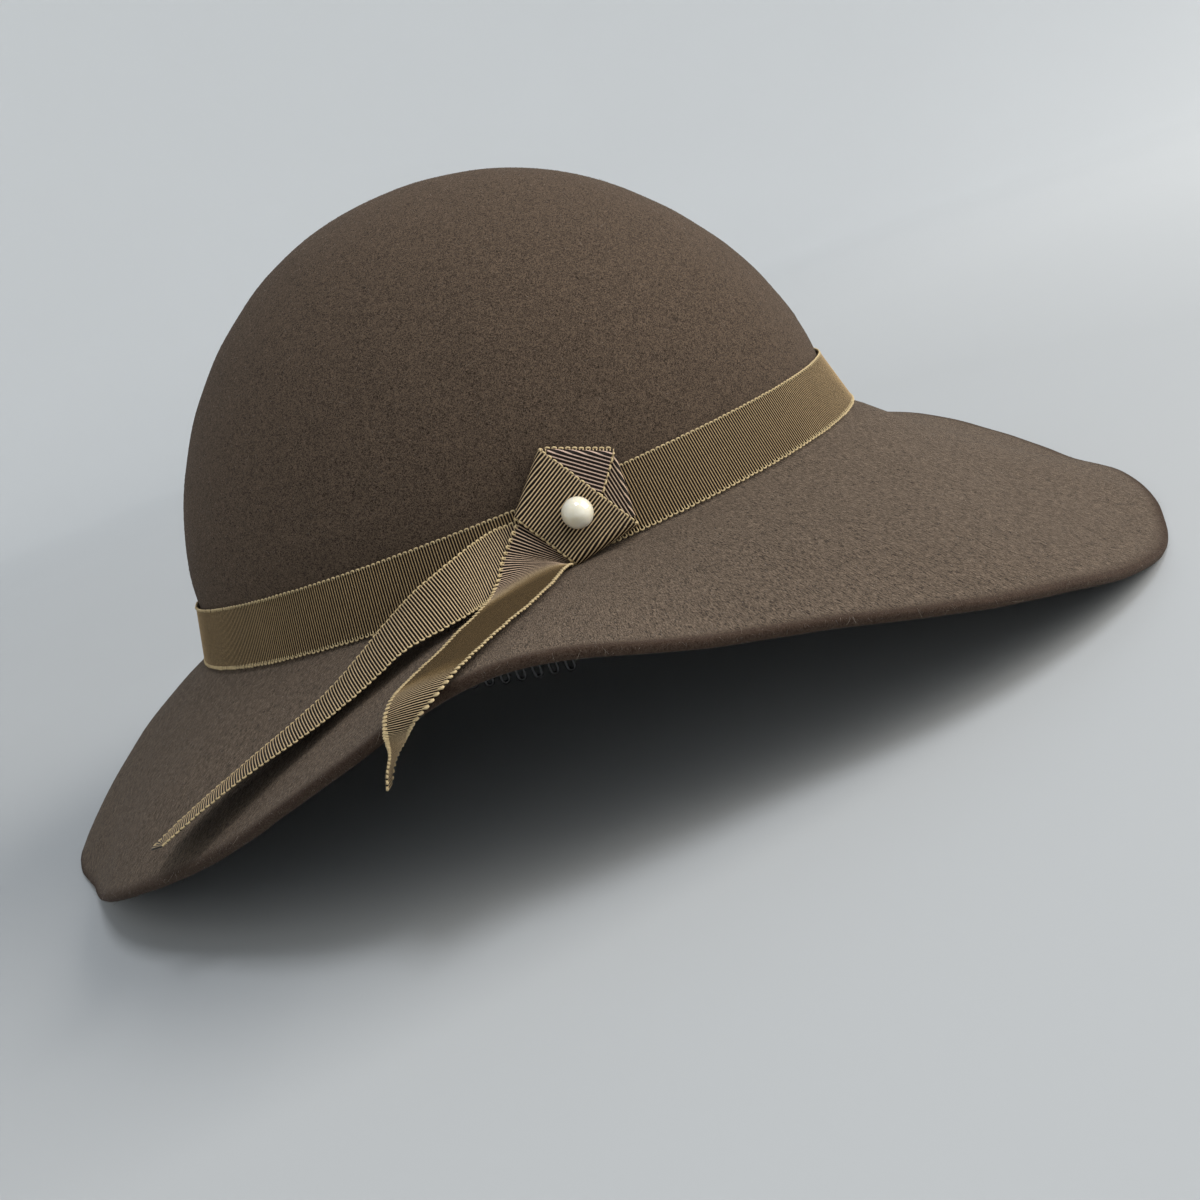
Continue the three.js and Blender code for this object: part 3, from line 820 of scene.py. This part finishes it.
def tail_long_rows():
    k = on_knot
    return [
        (k(-5, 2.8, 0.8), k(-6, -12.4, 0.8)),
        (k(-11.5, 2.4, 0.8), k(-13, -12.6, 1.0)),
        (k(-17.8, 1.6, 0.6), k(-19, -13.0, 2.8)),
        ((2.2, -91.8, 14.6), (4.8, -101.6, 1.3)),
        ((-5.0, -97.8, 13.6), (-2.2, -109.2, 1.6)),
        ((-12.6, -102.6, 11.6), (-7.0, -116.0, 1.6)),
        ((-19.0, -105.0, 9.7), (-12.6, -120.0, 1.4)),
        ((-28.2, -107.0, 5.4), (-22.6, -123.6, 0.6)),
        ((-36.5, -109.0, 0.9), (-31.0, -126.2, -2.4)),
        ((-45.9, -111.4, -3.8), (-40.4, -128.6, -5.4)),
        ((-56.1, -113.3, -7.6), (-50.3, -130.4, -8.0)),
        ((-65.8, -114.4, -10.7), (-60.3, -131.4, -10.2)),
        ((-75.1, -115.0, -13.8), (-69.8, -132.2, -12.5)),
        ((-87.4, -116.0, -18.0), (-81.9, -133.0, -16.2)),
        ((-97.4, -117.6, -21.8), (-91.0, -134.0, -19.4)),
        ((-103.0, -119.6, -24.0), (-91.8, -134.2, -19.7)),
    ]


def tail_short_rows():
    k = on_knot
    return [
        (k(-11.0, 1.5, 2.3), k(-3.5, -13.0, 2.3)),
        (k(-15.5, 1.1, 2.5), k(-6.3, -12.7, 2.3)),
        ((7.0, -94.2, 12.1), k(-7.1, -13.6, 2.2)),
        ((4.0, -96.7, 9.1), k(-7.8, -14.5, 2.1)),
        ((2.4, -100.5, 7.0), (18.4, -95.6, -0.2)),
        ((1.2, -103.6, 4.9), (18.2, -98.6, 0.5)),
        ((-0.4, -107.6, 3.2), (17.2, -103.2, 0.9)),
        ((-1.7, -112.4, 2.3), (15.8, -109.0, 0.9)),
        ((-3.2, -117.4, 2.0), (14.4, -114.5, 0.9)),
        ((-5.8, -124.0, 1.6), (12.3, -120.7, 1.0)),
        ((-8.3, -131.6, 1.6), (9.4, -128.6, 1.1)),
        ((-11.0, -138.0, 1.0), (6.4, -136.2, 1.4)),
        ((-13.8, -144.0, 0.7), (3.6, -143.6, 1.6)),
        ((-16.4, -150.6, 0.5), (0.8, -151.2, 1.7)),
        ((-18.4, -157.6, 0.5), (-2.2, -159.6, 1.8)),
        ((-19.4, -163.4, 0.4), (-5.6, -166.6, 1.2)),
        ((-20.4, -168.4, -0.8), (-9.8, -170.6, -0.8)),
        ((-21.1, -170.6, -2.8), (-15.9, -170.0, -3.8)),
        ((-21.9, -171.0, -5.2), (-19.6, -164.0, -7.0)),
        ((-22.4, -171.0, -7.3), (-22.2, -158.4, -9.6)),
        ((-23.6, -171.0, -9.4), (-25.4, -156.0, -12.4)),
        ((-25.0, -171.0, -11.8), (-28.0, -154.5, -15.4)),
        ((-26.6, -170.0, -15.4), (-30.0, -154.5, -19.2)),
    ]


def tail(name, rows, bow, material, stands_for, seed, pressed=None, loop_shape=(1.0, 1.0)):
    """A free tail of the ribbon: its cords link the two woven edges, and it bows across its width.

    Between the two rows named in pressed it lies flat on the brim and its cords are pressed low; there they
    are also painted darker, painted shade, and just before, where the tail fans out, paler and rosier, a
    painted sheen.
    """
    top_rows = np.array([row[0] for row in rows], float)
    low_rows = np.array([row[1] for row in rows], float)
    t = np.linspace(0, 1, 1200)
    steps = [np.diff(smooth_through(edge, t), axis=0) for edge in (top_rows, low_rows)]
    moved = np.maximum(*np.linalg.norm(steps, axis=-1))
    if pressed:
        # Before it lies flat the tail fans out and its cords are drawn apart.
        drawn_apart = 0.82
        moved = moved * np.interp(t[1:] * (len(rows) - 1), [pressed[0], pressed[0] + 2], [drawn_apart, 1])
    length = np.concatenate([[0], np.cumsum(moved)])
    ribs = int(length[-1] / rib_pitch)
    edge_in = 0.4
    body = ribbon_width - 2 * edge_in

    def place(along, across):
        share = np.interp(along, length, t)
        top, low = smooth_through(top_rows, share), smooth_through(low_rows, share)
        step = 2e-3
        run = (smooth_through(top_rows, share + step) + smooth_through(low_rows, share + step)
               - smooth_through(top_rows, share - step) - smooth_through(low_rows, share - step))
        square = unit(np.cross(run, low - top))
        f = (np.broadcast_to(across, along.shape) + body / 2) / body
        f = mix(edge_in / ribbon_width, 1 - edge_in / ribbon_width, f)
        rise = 0.5 + bow * np.sin(math.pi * np.clip(share, 0, 1)) * 4 * f * (1 - f)
        return mix(low, top, f[..., None]) + square * rise[..., None]

    def reach(along):
        return -body / 2 + 0 * along, body / 2 + 0 * along

    # From 0 to 1 where the tail lies flat and below 0 just before it; besides lowering the cords above 0,
    # this value paints them darker there, painted shade, and paler and rosier below 0, a painted sheen.
    def lying_flat_and_painted_light(along, across):
        row = np.interp(along, length, t) * (len(rows) - 1)
        start = pressed[0] + 3.5 * (across + body / 2) / body
        flat = np.clip(np.minimum(row - start, pressed[1] - row) / 1.5, 0, 1)
        return flat - 0.5 * np.clip(start - row, 0, 1)

    piece = ribbed_ribbon(name, (0, ribs), place, reach, material, across=8, facing=-1.0,
                          pressed=lying_flat_and_painted_light if pressed else not_pressed, loop_reach=(0.48, 0.48),
                          loop_shape=loop_shape, stands_for=stands_for, seed=seed)


# ------------------------------------------------------------ pearl and comb

def pearl(material):
    """A round moulded pearl, sunk a little at the two ends of its sewing hole, which is not cut."""
    low, high = (np.array(v) * 1000 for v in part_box("pearl"))
    radius = float((high - low).max()) / 2
    centre = on_knot(*pearl_place, wrap_height + 0.05 + radius)
    hole_way = unit(0.8 * knot_along + 0.6 * knot_up)
    other = unit(np.cross(knot_out, hole_way))
    third = np.cross(hole_way, other)
    round_it = np.arange(64)[:, None] * 2 * math.pi / 64
    # It is not quite round.
    swell = 0.004 * np.sin(2 * round_it + 1.1)
    rings = []
    for angle in np.linspace(0, math.pi, 40)[1:-1]:
        across, height = math.sin(angle), math.cos(angle)
        height -= math.copysign(0.05 * math.exp(-((across / 0.14) ** 2)), height)
        level = other * np.cos(round_it) + third * np.sin(round_it)
        rings.append(centre + radius * (hole_way * height + level * across * (1 + swell * across)))
    tip = hole_way * radius * 0.94
    points, faces = closed_tube(np.array(rings), centre + tip, centre - tip)
    make_piece("pearl_bead", points, faces, material, stands_for=["pearl"])


def inside_wall(x, z, distance):
    """A point on the felt's inner wall, a distance in from it, on the wearer's right."""
    wall = behind_ribbon + felt_thickness + distance
    azimuth = -90 + math.degrees(math.asin(x / (band_low["half_length"] - wall)))
    return band_point(np.array(azimuth), z, -wall)


def comb_tooth(top, bar_z, tip_z):
    """One tooth's wire: down one leg, round the end and up, each leg wound once and a half round the bar."""
    x, y = top[:2]
    wound = []
    for side in (-1, 1):
        turns = np.radians(np.linspace(-90, 450, 34))
        slide = side * (tooth_half + 0.9 * (turns + math.pi / 2) / (3 * math.pi))
        wound.append(xyz(x + slide, y + wind_radius * np.cos(turns), bar_z + wind_radius * np.sin(turns)))
    leg = np.linspace(bar_z - 1.3, tip_z + 1.5, 14)
    end = np.radians(np.linspace(180, 360, 17))
    round_end = xyz(x + tooth_half * np.cos(end), y, tip_z + tooth_half * (1 + np.sin(end)))
    legs = [xyz(x - tooth_half, y, leg), round_end, xyz(x + tooth_half, y, leg[::-1])]
    return np.concatenate([wound[0][::-1], *legs, wound[1]])


def comb(material):
    """A wire comb inside the head line: long teeth that end in round loops, wound round a stiff bar."""
    teeth, pitch, front_x = 9, 4.4, 7.0
    bar_z, stand_off = 6.0, 1.5
    bar = [inside_wall(x, bar_z, stand_off) for x in np.linspace(front_x + 3, front_x - pitch * teeth, 60)]
    bodies = [wire(bar, bar_radius, 12)]
    for x in front_x - pitch * np.arange(teeth):
        tip_z = -28.4 + 0.18 * (front_x - x)
        tooth = comb_tooth(inside_wall(x, bar_z, stand_off), bar_z, tip_z)
        bodies.append(wire(tooth, wire_radius, 8))
    points, faces = joined(bodies)
    make_piece("comb_wire", points, faces, material, stands_for=["hair_comb"])


# ------------------------------------------------------------------- materials

def linear(hex_colour):
    """An sRGB hex colour as linear red, green, blue and alpha."""
    parts = [int(hex_colour[i:i + 2], 16) / 255 for i in (1, 3, 5)]
    return tuple(p / 12.92 if p <= 0.04045 else ((p + 0.055) / 1.055) ** 2.4 for p in parts) + (1.0,)


def add(tree, kind, inputs=None, tones=None, **settings):
    """Adds a node with its settings and inputs. An input is a value, a socket, or a node that stands
    for its first output in use. tones are the places and colours along a ramp."""
    node = tree.nodes.new("ShaderNode" + kind)
    for name, value in settings.items():
        setattr(node, name, value)
    for socket, source in (inputs or {}).items():
        if isinstance(source, bpy.types.Node):
            source = next(output for output in source.outputs if output.enabled)
        if isinstance(source, bpy.types.NodeSocket):
            tree.links.new(source, node.inputs[socket])
        else:
            node.inputs[socket].default_value = source
    for number, (place, tone) in enumerate(tones or []):
        stops = node.color_ramp.elements
        stop = stops[number] if number < len(stops) else stops.new(place)
        stop.position, stop.color = place, linear(tone)
    return node


def new_material(name):
    material = bpy.data.materials.new(name)
    material.use_nodes = True
    material.node_tree.nodes.clear()
    return material, material.node_tree


def wool_felt():
    """Fulled wool felt: crown of short tangled curls, brim brushed outward, a dull bloom of nap over both."""
    material, tree = new_material("fulled_wool_felt")
    where = add(tree, "TexCoord").outputs["Object"]
    split = add(tree, "SeparateXYZ", {"Vector": where})
    # Brushed strokes: about 0.25 mm apart round the hat and 1.2 mm long, so the noise runs on
    # the direction from the middle and, more slowly, on the distance from it.
    level = add(tree, "CombineXYZ", {"X": split.outputs["X"], "Y": split.outputs["Y"]})
    way = add(tree, "VectorMath", {0: level}, operation="NORMALIZE")
    around = add(tree, "VectorMath", {0: way, "Scale": 640.0}, operation="SCALE")
    away = add(tree, "VectorMath", {0: level}, operation="LENGTH")
    away = add(tree, "Math", {0: away, 1: 860.0}, operation="MULTIPLY")
    away = add(tree, "CombineXYZ", {"Z": away})
    stroke_place = add(tree, "VectorMath", {0: around, 1: away}, operation="ADD")
    strokes = add(tree, "TexNoise", {"Vector": stroke_place, "Scale": 1.0, "Detail": 3, "Roughness": 0.6,
                                     "Distortion": 0.5})
    # Curls near 0.7 mm with hairs drawn 0.15 mm wide, coarser than their real 0.03 mm.
    curls = add(tree, "TexNoise", {"Vector": where, "Scale": 1500, "Detail": 4, "Roughness": 0.65,
                                   "Distortion": 2.2})
    fine = add(tree, "TexNoise", {"Vector": where, "Scale": 4200, "Detail": 2, "Roughness": 0.6,
                                  "Distortion": 1.0})
    tufts = add(tree, "TexNoise", {"Vector": where, "Scale": 620, "Detail": 4, "Roughness": 0.65})
    brim = add(tree, "Attribute", attribute_name="brim").outputs["Fac"]
    edge = add(tree, "Attribute", attribute_name="cut_edge").outputs["Fac"]
    brushed = add(tree, "Math", {0: brim, 1: edge}, operation="SUBTRACT", use_clamp=True)
    lay = add(tree, "Mix", data_type="FLOAT", inputs={"Factor": brushed, "A": curls, "B": strokes})
    grain = add(tree, "Math", {0: fine, 1: 0.55}, operation="MULTIPLY")
    grain = add(tree, "Math", {0: grain, 1: lay}, operation="ADD")
    base = add(tree, "Mix", {"Factor": brim, "A": linear("#4C4035"), "B": linear("#564B40")},
               data_type="RGBA")
    grain_shade = add(tree, "MapRange", {"Value": grain, "From Min": 0.64, "From Max": 0.91, "To Min": 0.12,
                                         "To Max": 1.85})
    tuft_shade = add(tree, "MapRange", {"Value": tufts, "From Min": 0.3, "From Max": 0.7, "To Min": 0.9,
                                        "To Max": 1.1})
    shade = add(tree, "Math", {0: grain_shade, 1: tuft_shade}, operation="MULTIPLY")
    shaded = add(tree, "VectorMath", {0: base, 1: shade}, operation="MULTIPLY")
    # A cut edge shows the felt's inside, which is redder; it is also painted darker than that, painted shade
    # for the edge that faces down, away from the light.
    cut_edge_tone_and_shade = add(tree, "Math", {0: edge, 1: 0.75}, operation="MULTIPLY")
    colour = add(tree, "Mix", {"Factor": cut_edge_tone_and_shade, "A": shaded, "B": linear("#2C1D15")}, data_type="RGBA")
    relief = add(tree, "Math", {0: grain, 1: tufts}, operation="ADD")
    bump = add(tree, "Bump", {"Height": relief, "Strength": 0.6, "Distance": 0.0004})
    surface = add(tree, "BsdfPrincipled", {
        "Base Color": colour, "Normal": bump, "Roughness": 0.95, "IOR": 1.5, "Specular IOR Level": 0.12,
        "Sheen Weight": 0.12, "Sheen Roughness": 0.55, "Sheen Tint": linear("#B9A899")})
    add(tree, "OutputMaterial", {"Surface": surface})
    return material


def loose_wool(name, dark, pale):
    """Single wool ends on the felt: dull, with a faint sheen, paler than the cloth under them."""
    material, tree = new_material(name)
    where = add(tree, "TexCoord").outputs["Object"]
    spread = add(tree, "TexNoise", {"Vector": where, "Scale": 700, "Detail": 1})
    tone = add(tree, "ValToRGB", {"Fac": spread}, [(0.35, dark), (0.7, pale)])
    surface = add(tree, "BsdfPrincipled", {
        "Base Color": tone, "Roughness": 0.8, "IOR": 1.55, "Specular IOR Level": 0.25, "Sheen Weight": 0.2})
    add(tree, "OutputMaterial", {"Surface": surface})
    return material


def ribbed_viscose():
    """Ribbed viscose ribbon: round bright cords over a dark ground, and fine warp lines across them.
    The dark between the cords is partly the darker ground yarn and partly painted shade in the
    grooves; the cords get painted shade where pressed and a painted sheen where drawn apart.
    """
    material, tree = new_material("woven_ribbed_viscose")
    where = add(tree, "TexCoord").outputs["Object"]
    weave = add(tree, "UVMap", uv_map="weave").outputs["UV"]
    split = add(tree, "SeparateXYZ", {"Vector": weave})
    # The dark ground between the bright cord tops is partly the darker ground yarn and partly painted shade
    # in the grooves between the cords.
    phase = add(tree, "Math", {0: split.outputs["X"], 1: 1.0}, operation="FLOORED_MODULO")
    from_ridge = add(tree, "Math", {0: phase, 1: 0.5}, operation="SUBTRACT")
    from_ridge = add(tree, "Math", {0: from_ridge}, operation="ABSOLUTE")
    ridge = add(tree, "MapRange", {"Value": from_ridge, "From Min": 0.26, "From Max": 0.06},
                interpolation_type="SMOOTHSTEP")
    # Where the ribbon is pressed flat its cords sink in; the bright share of each cord is also cut down
    # there, painted shade that darkens the flat-lying ribbon.
    pressed = add(tree, "Attribute", attribute_name="pressed").outputs["Fac"]
    sunk = add(tree, "MapRange", {"Value": pressed, "To Min": 1.0, "To Max": 0.4})
    ridge = add(tree, "Math", {0: ridge, 1: sunk}, operation="MULTIPLY")
    # The cord tone is the ribbon's own tan where it lies free, painted paler and a little rosy where the
    # cords are drawn apart, a painted sheen of the window light, and painted a darker olive-gold where
    # they are pressed low, painted shade.
    lie = add(tree, "MapRange", {"Value": pressed, "From Min": -1.0, "From Max": 0.6})
    cord_tone_and_painted_light = add(tree, "ValToRGB", {"Fac": lie}, [(0.0, "#C6AB9C"), (0.625, "#C3AB86"), (1.0, "#B09262")])
    # Where the cords are drawn apart their bright tops are drawn narrower, so that more painted shade shows
    # between them.
    thin = add(tree, "MapRange", {"Value": pressed, "From Min": -0.5, "From Max": 0.0, "To Min": 1.9})
    ridge = add(tree, "Math", {0: ridge, 1: thin}, operation="POWER")
    cord = add(tree, "Mix", {"Factor": ridge, "A": linear("#130C06"), "B": cord_tone_and_painted_light}, data_type="RGBA")
    # The loops that join the cords at both edges are the bare yarn, paler than the woven face.
    loop = add(tree, "Attribute", attribute_name="edge_loop").outputs["Fac"]
    yarn_colour = add(tree, "Mix", {"Factor": loop, "A": cord, "B": linear("#C0AC84")}, data_type="RGBA")
    # Warp threads cross every cord about 0.25 mm apart; the map is in 10 mm steps across the ribbon.
    warp = add(tree, "TexWave", {"Vector": weave, "Scale": 40 / math.pi / 2, "Distortion": 1.2, "Detail": 1},
               bands_direction="Y").outputs["Fac"]
    yarn = add(tree, "TexNoise", {"Vector": where, "Scale": 1500, "Detail": 3, "Roughness": 0.6})
    fade = add(tree, "TexNoise", {"Vector": where, "Scale": 60, "Detail": 2})
    yarn_shade = add(tree, "MapRange", {"Value": yarn, "From Min": 0.3, "From Max": 0.7, "To Min": 0.82,
                                        "To Max": 1.15})
    fade_shade = add(tree, "MapRange", {"Value": fade, "From Min": 0.3, "From Max": 0.7, "To Min": 0.94,
                                        "To Max": 1.06})
    shade = add(tree, "Math", {0: yarn_shade, 1: fade_shade}, operation="MULTIPLY")
    colour = add(tree, "VectorMath", {0: yarn_colour, 1: shade}, operation="MULTIPLY")
    height = add(tree, "Math", {0: warp, 1: yarn}, operation="ADD")
    bump = add(tree, "Bump", {"Height": height, "Strength": 0.25, "Distance": 0.00008})
    surface = add(tree, "BsdfPrincipled", {
        "Base Color": colour, "Normal": bump, "Roughness": 0.55, "IOR": 1.5, "Specular IOR Level": 0.12})
    add(tree, "OutputMaterial", {"Surface": surface})
    return material


def imitation_pearl():
    """Glass bead dipped in pearl lacquer: warm cream under a hard clear gloss, glossiest face on."""
    material, tree = new_material("lacquered_pearl")
    where = add(tree, "TexCoord").outputs["Object"]
    cloud = add(tree, "TexNoise", {"Vector": where, "Scale": 260, "Detail": 3, "Roughness": 0.5})
    cream = add(tree, "ValToRGB", {"Fac": cloud}, [(0.3, "#E7E0C6"), (0.7, "#F5F1E1")])
    depth = add(tree, "LayerWeight", {"Blend": 0.35}).outputs["Facing"]
    roughness = add(tree, "MapRange", {"Value": depth, "To Min": 0.14, "To Max": 0.26})
    surface = add(tree, "BsdfPrincipled", {
        "Base Color": cream, "Roughness": roughness, "IOR": 1.53, "Specular IOR Level": 0.7,
        "Coat Weight": 1.0, "Coat Roughness": 0.03, "Coat IOR": 1.5, "Subsurface Weight": 0.15,
        "Subsurface Radius": (0.9, 0.8, 0.55), "Subsurface Scale": 0.0015, "Sheen Weight": 0.1})
    add(tree, "OutputMaterial", {"Surface": surface})
    return material


def black_wire():
    """Japanned steel wire: black lacquer with a small hard gloss and faint draw marks."""
    material, tree = new_material("japanned_steel_wire")
    where = add(tree, "TexCoord").outputs["Object"]
    marks = add(tree, "TexNoise", {"Vector": where, "Scale": 1800, "Detail": 3})
    roughness = add(tree, "MapRange", {"Value": marks, "To Min": 0.22, "To Max": 0.42})
    shade = add(tree, "ValToRGB", {"Fac": marks}, [(0.0, "#0E0D0E"), (1.0, "#1E1C1C")])
    bump = add(tree, "Bump", {"Height": marks, "Strength": 0.2, "Distance": 0.00003})
    surface = add(tree, "BsdfPrincipled", {
        "Base Color": shade, "Normal": bump, "Roughness": roughness, "IOR": 1.5,
        "Specular IOR Level": 0.5, "Coat Weight": 0.3, "Coat Roughness": 0.15})
    add(tree, "OutputMaterial", {"Surface": surface})
    return material


def pale_board():
    """A painted studio sweep: dead matt pale blue-grey, greyer near the lights so that it looks even."""
    material, tree = new_material("painted_studio_floor")
    where = add(tree, "TexCoord").outputs["Object"]
    far = add(tree, "VectorMath", {0: where}, operation="LENGTH")
    reach = add(tree, "MapRange", {"Value": far, "From Min": 0.35, "From Max": 1.5})
    tone = add(tree, "Mix", {"Factor": reach, "A": linear("#B3B7B9"), "B": linear("#DBDFE1")},
               data_type="RGBA")
    # In front of the window light, and only there, the board near it would glare.
    window = light_place(*window_right)
    from_window = add(tree, "VectorMath", {0: where, 1: window}, operation="SUBTRACT")
    near = add(tree, "VectorMath", {0: from_window}, operation="LENGTH")
    behind = add(tree, "VectorMath", {0: from_window, 1: (window - hat_middle).normalized()},
                 operation="DOT_PRODUCT")
    behind = add(tree, "Math", {0: behind, 1: 0.0}, operation="GREATER_THAN")
    window_shade = add(tree, "MapRange", {"Value": near, "From Min": 0.6, "From Max": 1.75, "To Min": 0.13},
                       interpolation_type="SMOOTHSTEP")
    window_shade = add(tree, "Math", {0: window_shade, 1: behind}, operation="MAXIMUM")
    cloud = add(tree, "TexNoise", {"Vector": where, "Scale": 3, "Detail": 2})
    cloud_shade = add(tree, "MapRange", {"Value": cloud, "To Min": 0.98, "To Max": 1.02})
    shade = add(tree, "Math", {0: cloud_shade, 1: window_shade}, operation="MULTIPLY")
    colour = add(tree, "VectorMath", {0: tone, 1: shade}, operation="MULTIPLY")
    surface = add(tree, "BsdfPrincipled", {
        "Base Color": colour, "Roughness": 0.9, "Specular IOR Level": 0.15})
    add(tree, "OutputMaterial", {"Surface": surface})
    return material


# ---------------------------------------------------------------- the stage

def floor(material):
    """A round floor that sweeps up all round into a pale wall, with no edge to see."""
    flat, sweep = 1.4, 0.9
    profile = [(0.4, 0.0), (0.9, 0.0), (flat, 0.0)]
    for climb in np.linspace(0.1, math.pi / 2, 14):
        profile.append((flat + sweep * math.sin(climb), sweep * (1 - math.cos(climb))))
    profile.append((flat + sweep, 1.6))
    sides = 96
    turn = np.arange(sides) * 2 * math.pi / sides
    rings = np.array([xyz(r * np.cos(turn), r * np.sin(turn), z) for r, z in profile])
    points = np.concatenate([rings.reshape(-1, 3), [[0, 0, 0]]])
    k = np.arange(sides)
    fan = np.stack([np.full(sides, len(points) - 1), k, (k + 1) % sides], -1)
    quads = grid_faces(len(rings), sides, ring_columns=True)[:, ::-1]
    mesh = bpy.data.meshes.new("studio_floor")
    mesh.from_pydata(points.tolist(), [], quads.tolist() + fan.tolist())
    mesh.polygons.foreach_set("use_smooth", np.ones(len(mesh.polygons), bool))
    mesh.materials.append(material)
    stage = bpy.data.objects.new("studio_floor", mesh)
    bpy.context.scene.collection.objects.link(stage)


# The camera looks at the head line's middle from the wearer's right, a little to
# the front and above, and is turned on its side as the hat would tilt on a head.
camera_azimuth, camera_elevation, camera_roll = 7.0, 8.5, -22.7
camera_distance = 423.6
middle_left_of_axis, middle_above_axis = 3.297, 3.420
hat_middle = Vector((0, 0, 0.06))
window_right = (1.35, 1.4, 0.45)


def camera_frame():
    """Right, up and back of the camera, and its place, in the hat's own frame."""
    az, el, roll = (math.radians(v) for v in (camera_azimuth, camera_elevation, camera_roll))
    back = np.array([math.sin(az) * math.cos(el), -math.cos(az) * math.cos(el), math.sin(el)])
    level = unit(np.cross([0, 0, 1], back))
    upright = np.cross(back, level)
    right = math.cos(roll) * level + math.sin(roll) * upright
    up = -math.sin(roll) * level + math.cos(roll) * upright
    left, above = (math.tan(math.radians(v)) for v in (middle_left_of_axis, middle_above_axis))
    aim = Vector((-left, above, -1))
    swing = np.array(Vector((0, 0, -1)).rotation_difference(aim.normalized()).to_matrix())
    return swing @ np.array([right, up, back]), back * camera_distance


def camera():
    axes, place = camera_frame()
    eye = bpy.data.objects.new("eye", bpy.data.cameras.new("eye"))
    eye.data.lens, eye.data.sensor_width = 39, 36
    eye.data.clip_start, eye.data.clip_end = 0.01, 20
    turn = Matrix((lean @ axes.T).tolist()).to_4x4()
    turn.translation = Vector(placed(place))
    bpy.context.scene.collection.objects.link(eye)
    eye.matrix_world = turn
    bpy.context.scene.camera = eye


def light_place(right, up, back):
    """A place in metres along the camera's right, up and back from the hat."""
    axes, _ = camera_frame()
    axes = (lean @ axes.T).T
    return Vector((axes[0] * right + axes[1] * up + axes[2] * back).tolist()) + hat_middle


def soft_light(name, right, up, back, size, power, colour):
    """A square soft light that faces the hat."""
    place = light_place(right, up, back)
    lamp = bpy.data.lights.new(name, "AREA")
    lamp.shape, lamp.size, lamp.energy, lamp.color = "SQUARE", size, power, linear(colour)[:3]
    light = bpy.data.objects.new(name, lamp)
    light.location = place
    light.rotation_mode = "QUATERNION"
    light.rotation_quaternion = (place - hat_middle).to_track_quat("Z", "Y")
    bpy.context.scene.collection.objects.link(light)


def lights():
    """A wide window to the right, a small one above, and the room's weak warm light from the left."""
    soft_light("window_right", *window_right, size=1.5, power=48, colour="#FFF9F2")
    soft_light("window_top", -0.15, 1.6, 1.0, size=0.6, power=12, colour="#F8FAFF")
    soft_light("room_left", -1.25, 0.45, 1.1, size=1.3, power=3.2, colour="#FFF6EA")
    scene = bpy.context.scene
    scene.world = bpy.data.worlds.new("room")
    scene.world.use_nodes = True
    sky = scene.world.node_tree.nodes["Background"].inputs
    sky["Color"].default_value = linear("#DCE3EC")
    sky["Strength"].default_value = 0.38
    scene.view_settings.view_transform = "Standard"


# ------------------------------------------------------------------- the making

def nap(points, quads, outer_rings):
    """Short nap and single loose ends, thick outside, thin inside and almost none under the ribbon."""
    share = np.full(len(quads) // felt_columns, 0.25)
    share[:outer_rings + 8] = 1.0
    share[hidden_rings] = 0.02
    share = np.repeat(share, felt_columns)
    fibres("felt_nap", points, quads, share, count=48000, length=(0.5, 1.4), radius=(0.03, 0.055),
           lie=(6, 40), seed=5, material=loose_wool("short_wool_nap", "#2E261F", "#75685A"))
    fibres("felt_stray_wool", points, quads, share, count=5200, length=(1.4, 3.6), radius=(0.022, 0.04),
           lie=(3, 28), seed=6, material=loose_wool("stray_wool_ends", "#4C4136", "#8F8272"), bends=3)


def tails(material):
    tail("tail_long_ribbed", tail_long_rows(), 0.9, material, ["tail_long"], 31)
    tail("tail_short_ribbed", tail_short_rows(), 0.5, material, ["tail_short"], 32,
         pressed=(4.0, 15.0), loop_shape=(0.66, 1.2))


def main():
    camera()
    nap(*felt_body(wool_felt()))
    ribbon = ribbed_viscose()
    band(ribbon)
    knot(ribbon)
    tails(ribbon)
    pearl(imitation_pearl())
    comb(black_wire())
    floor(pale_board())
    lights()


main()
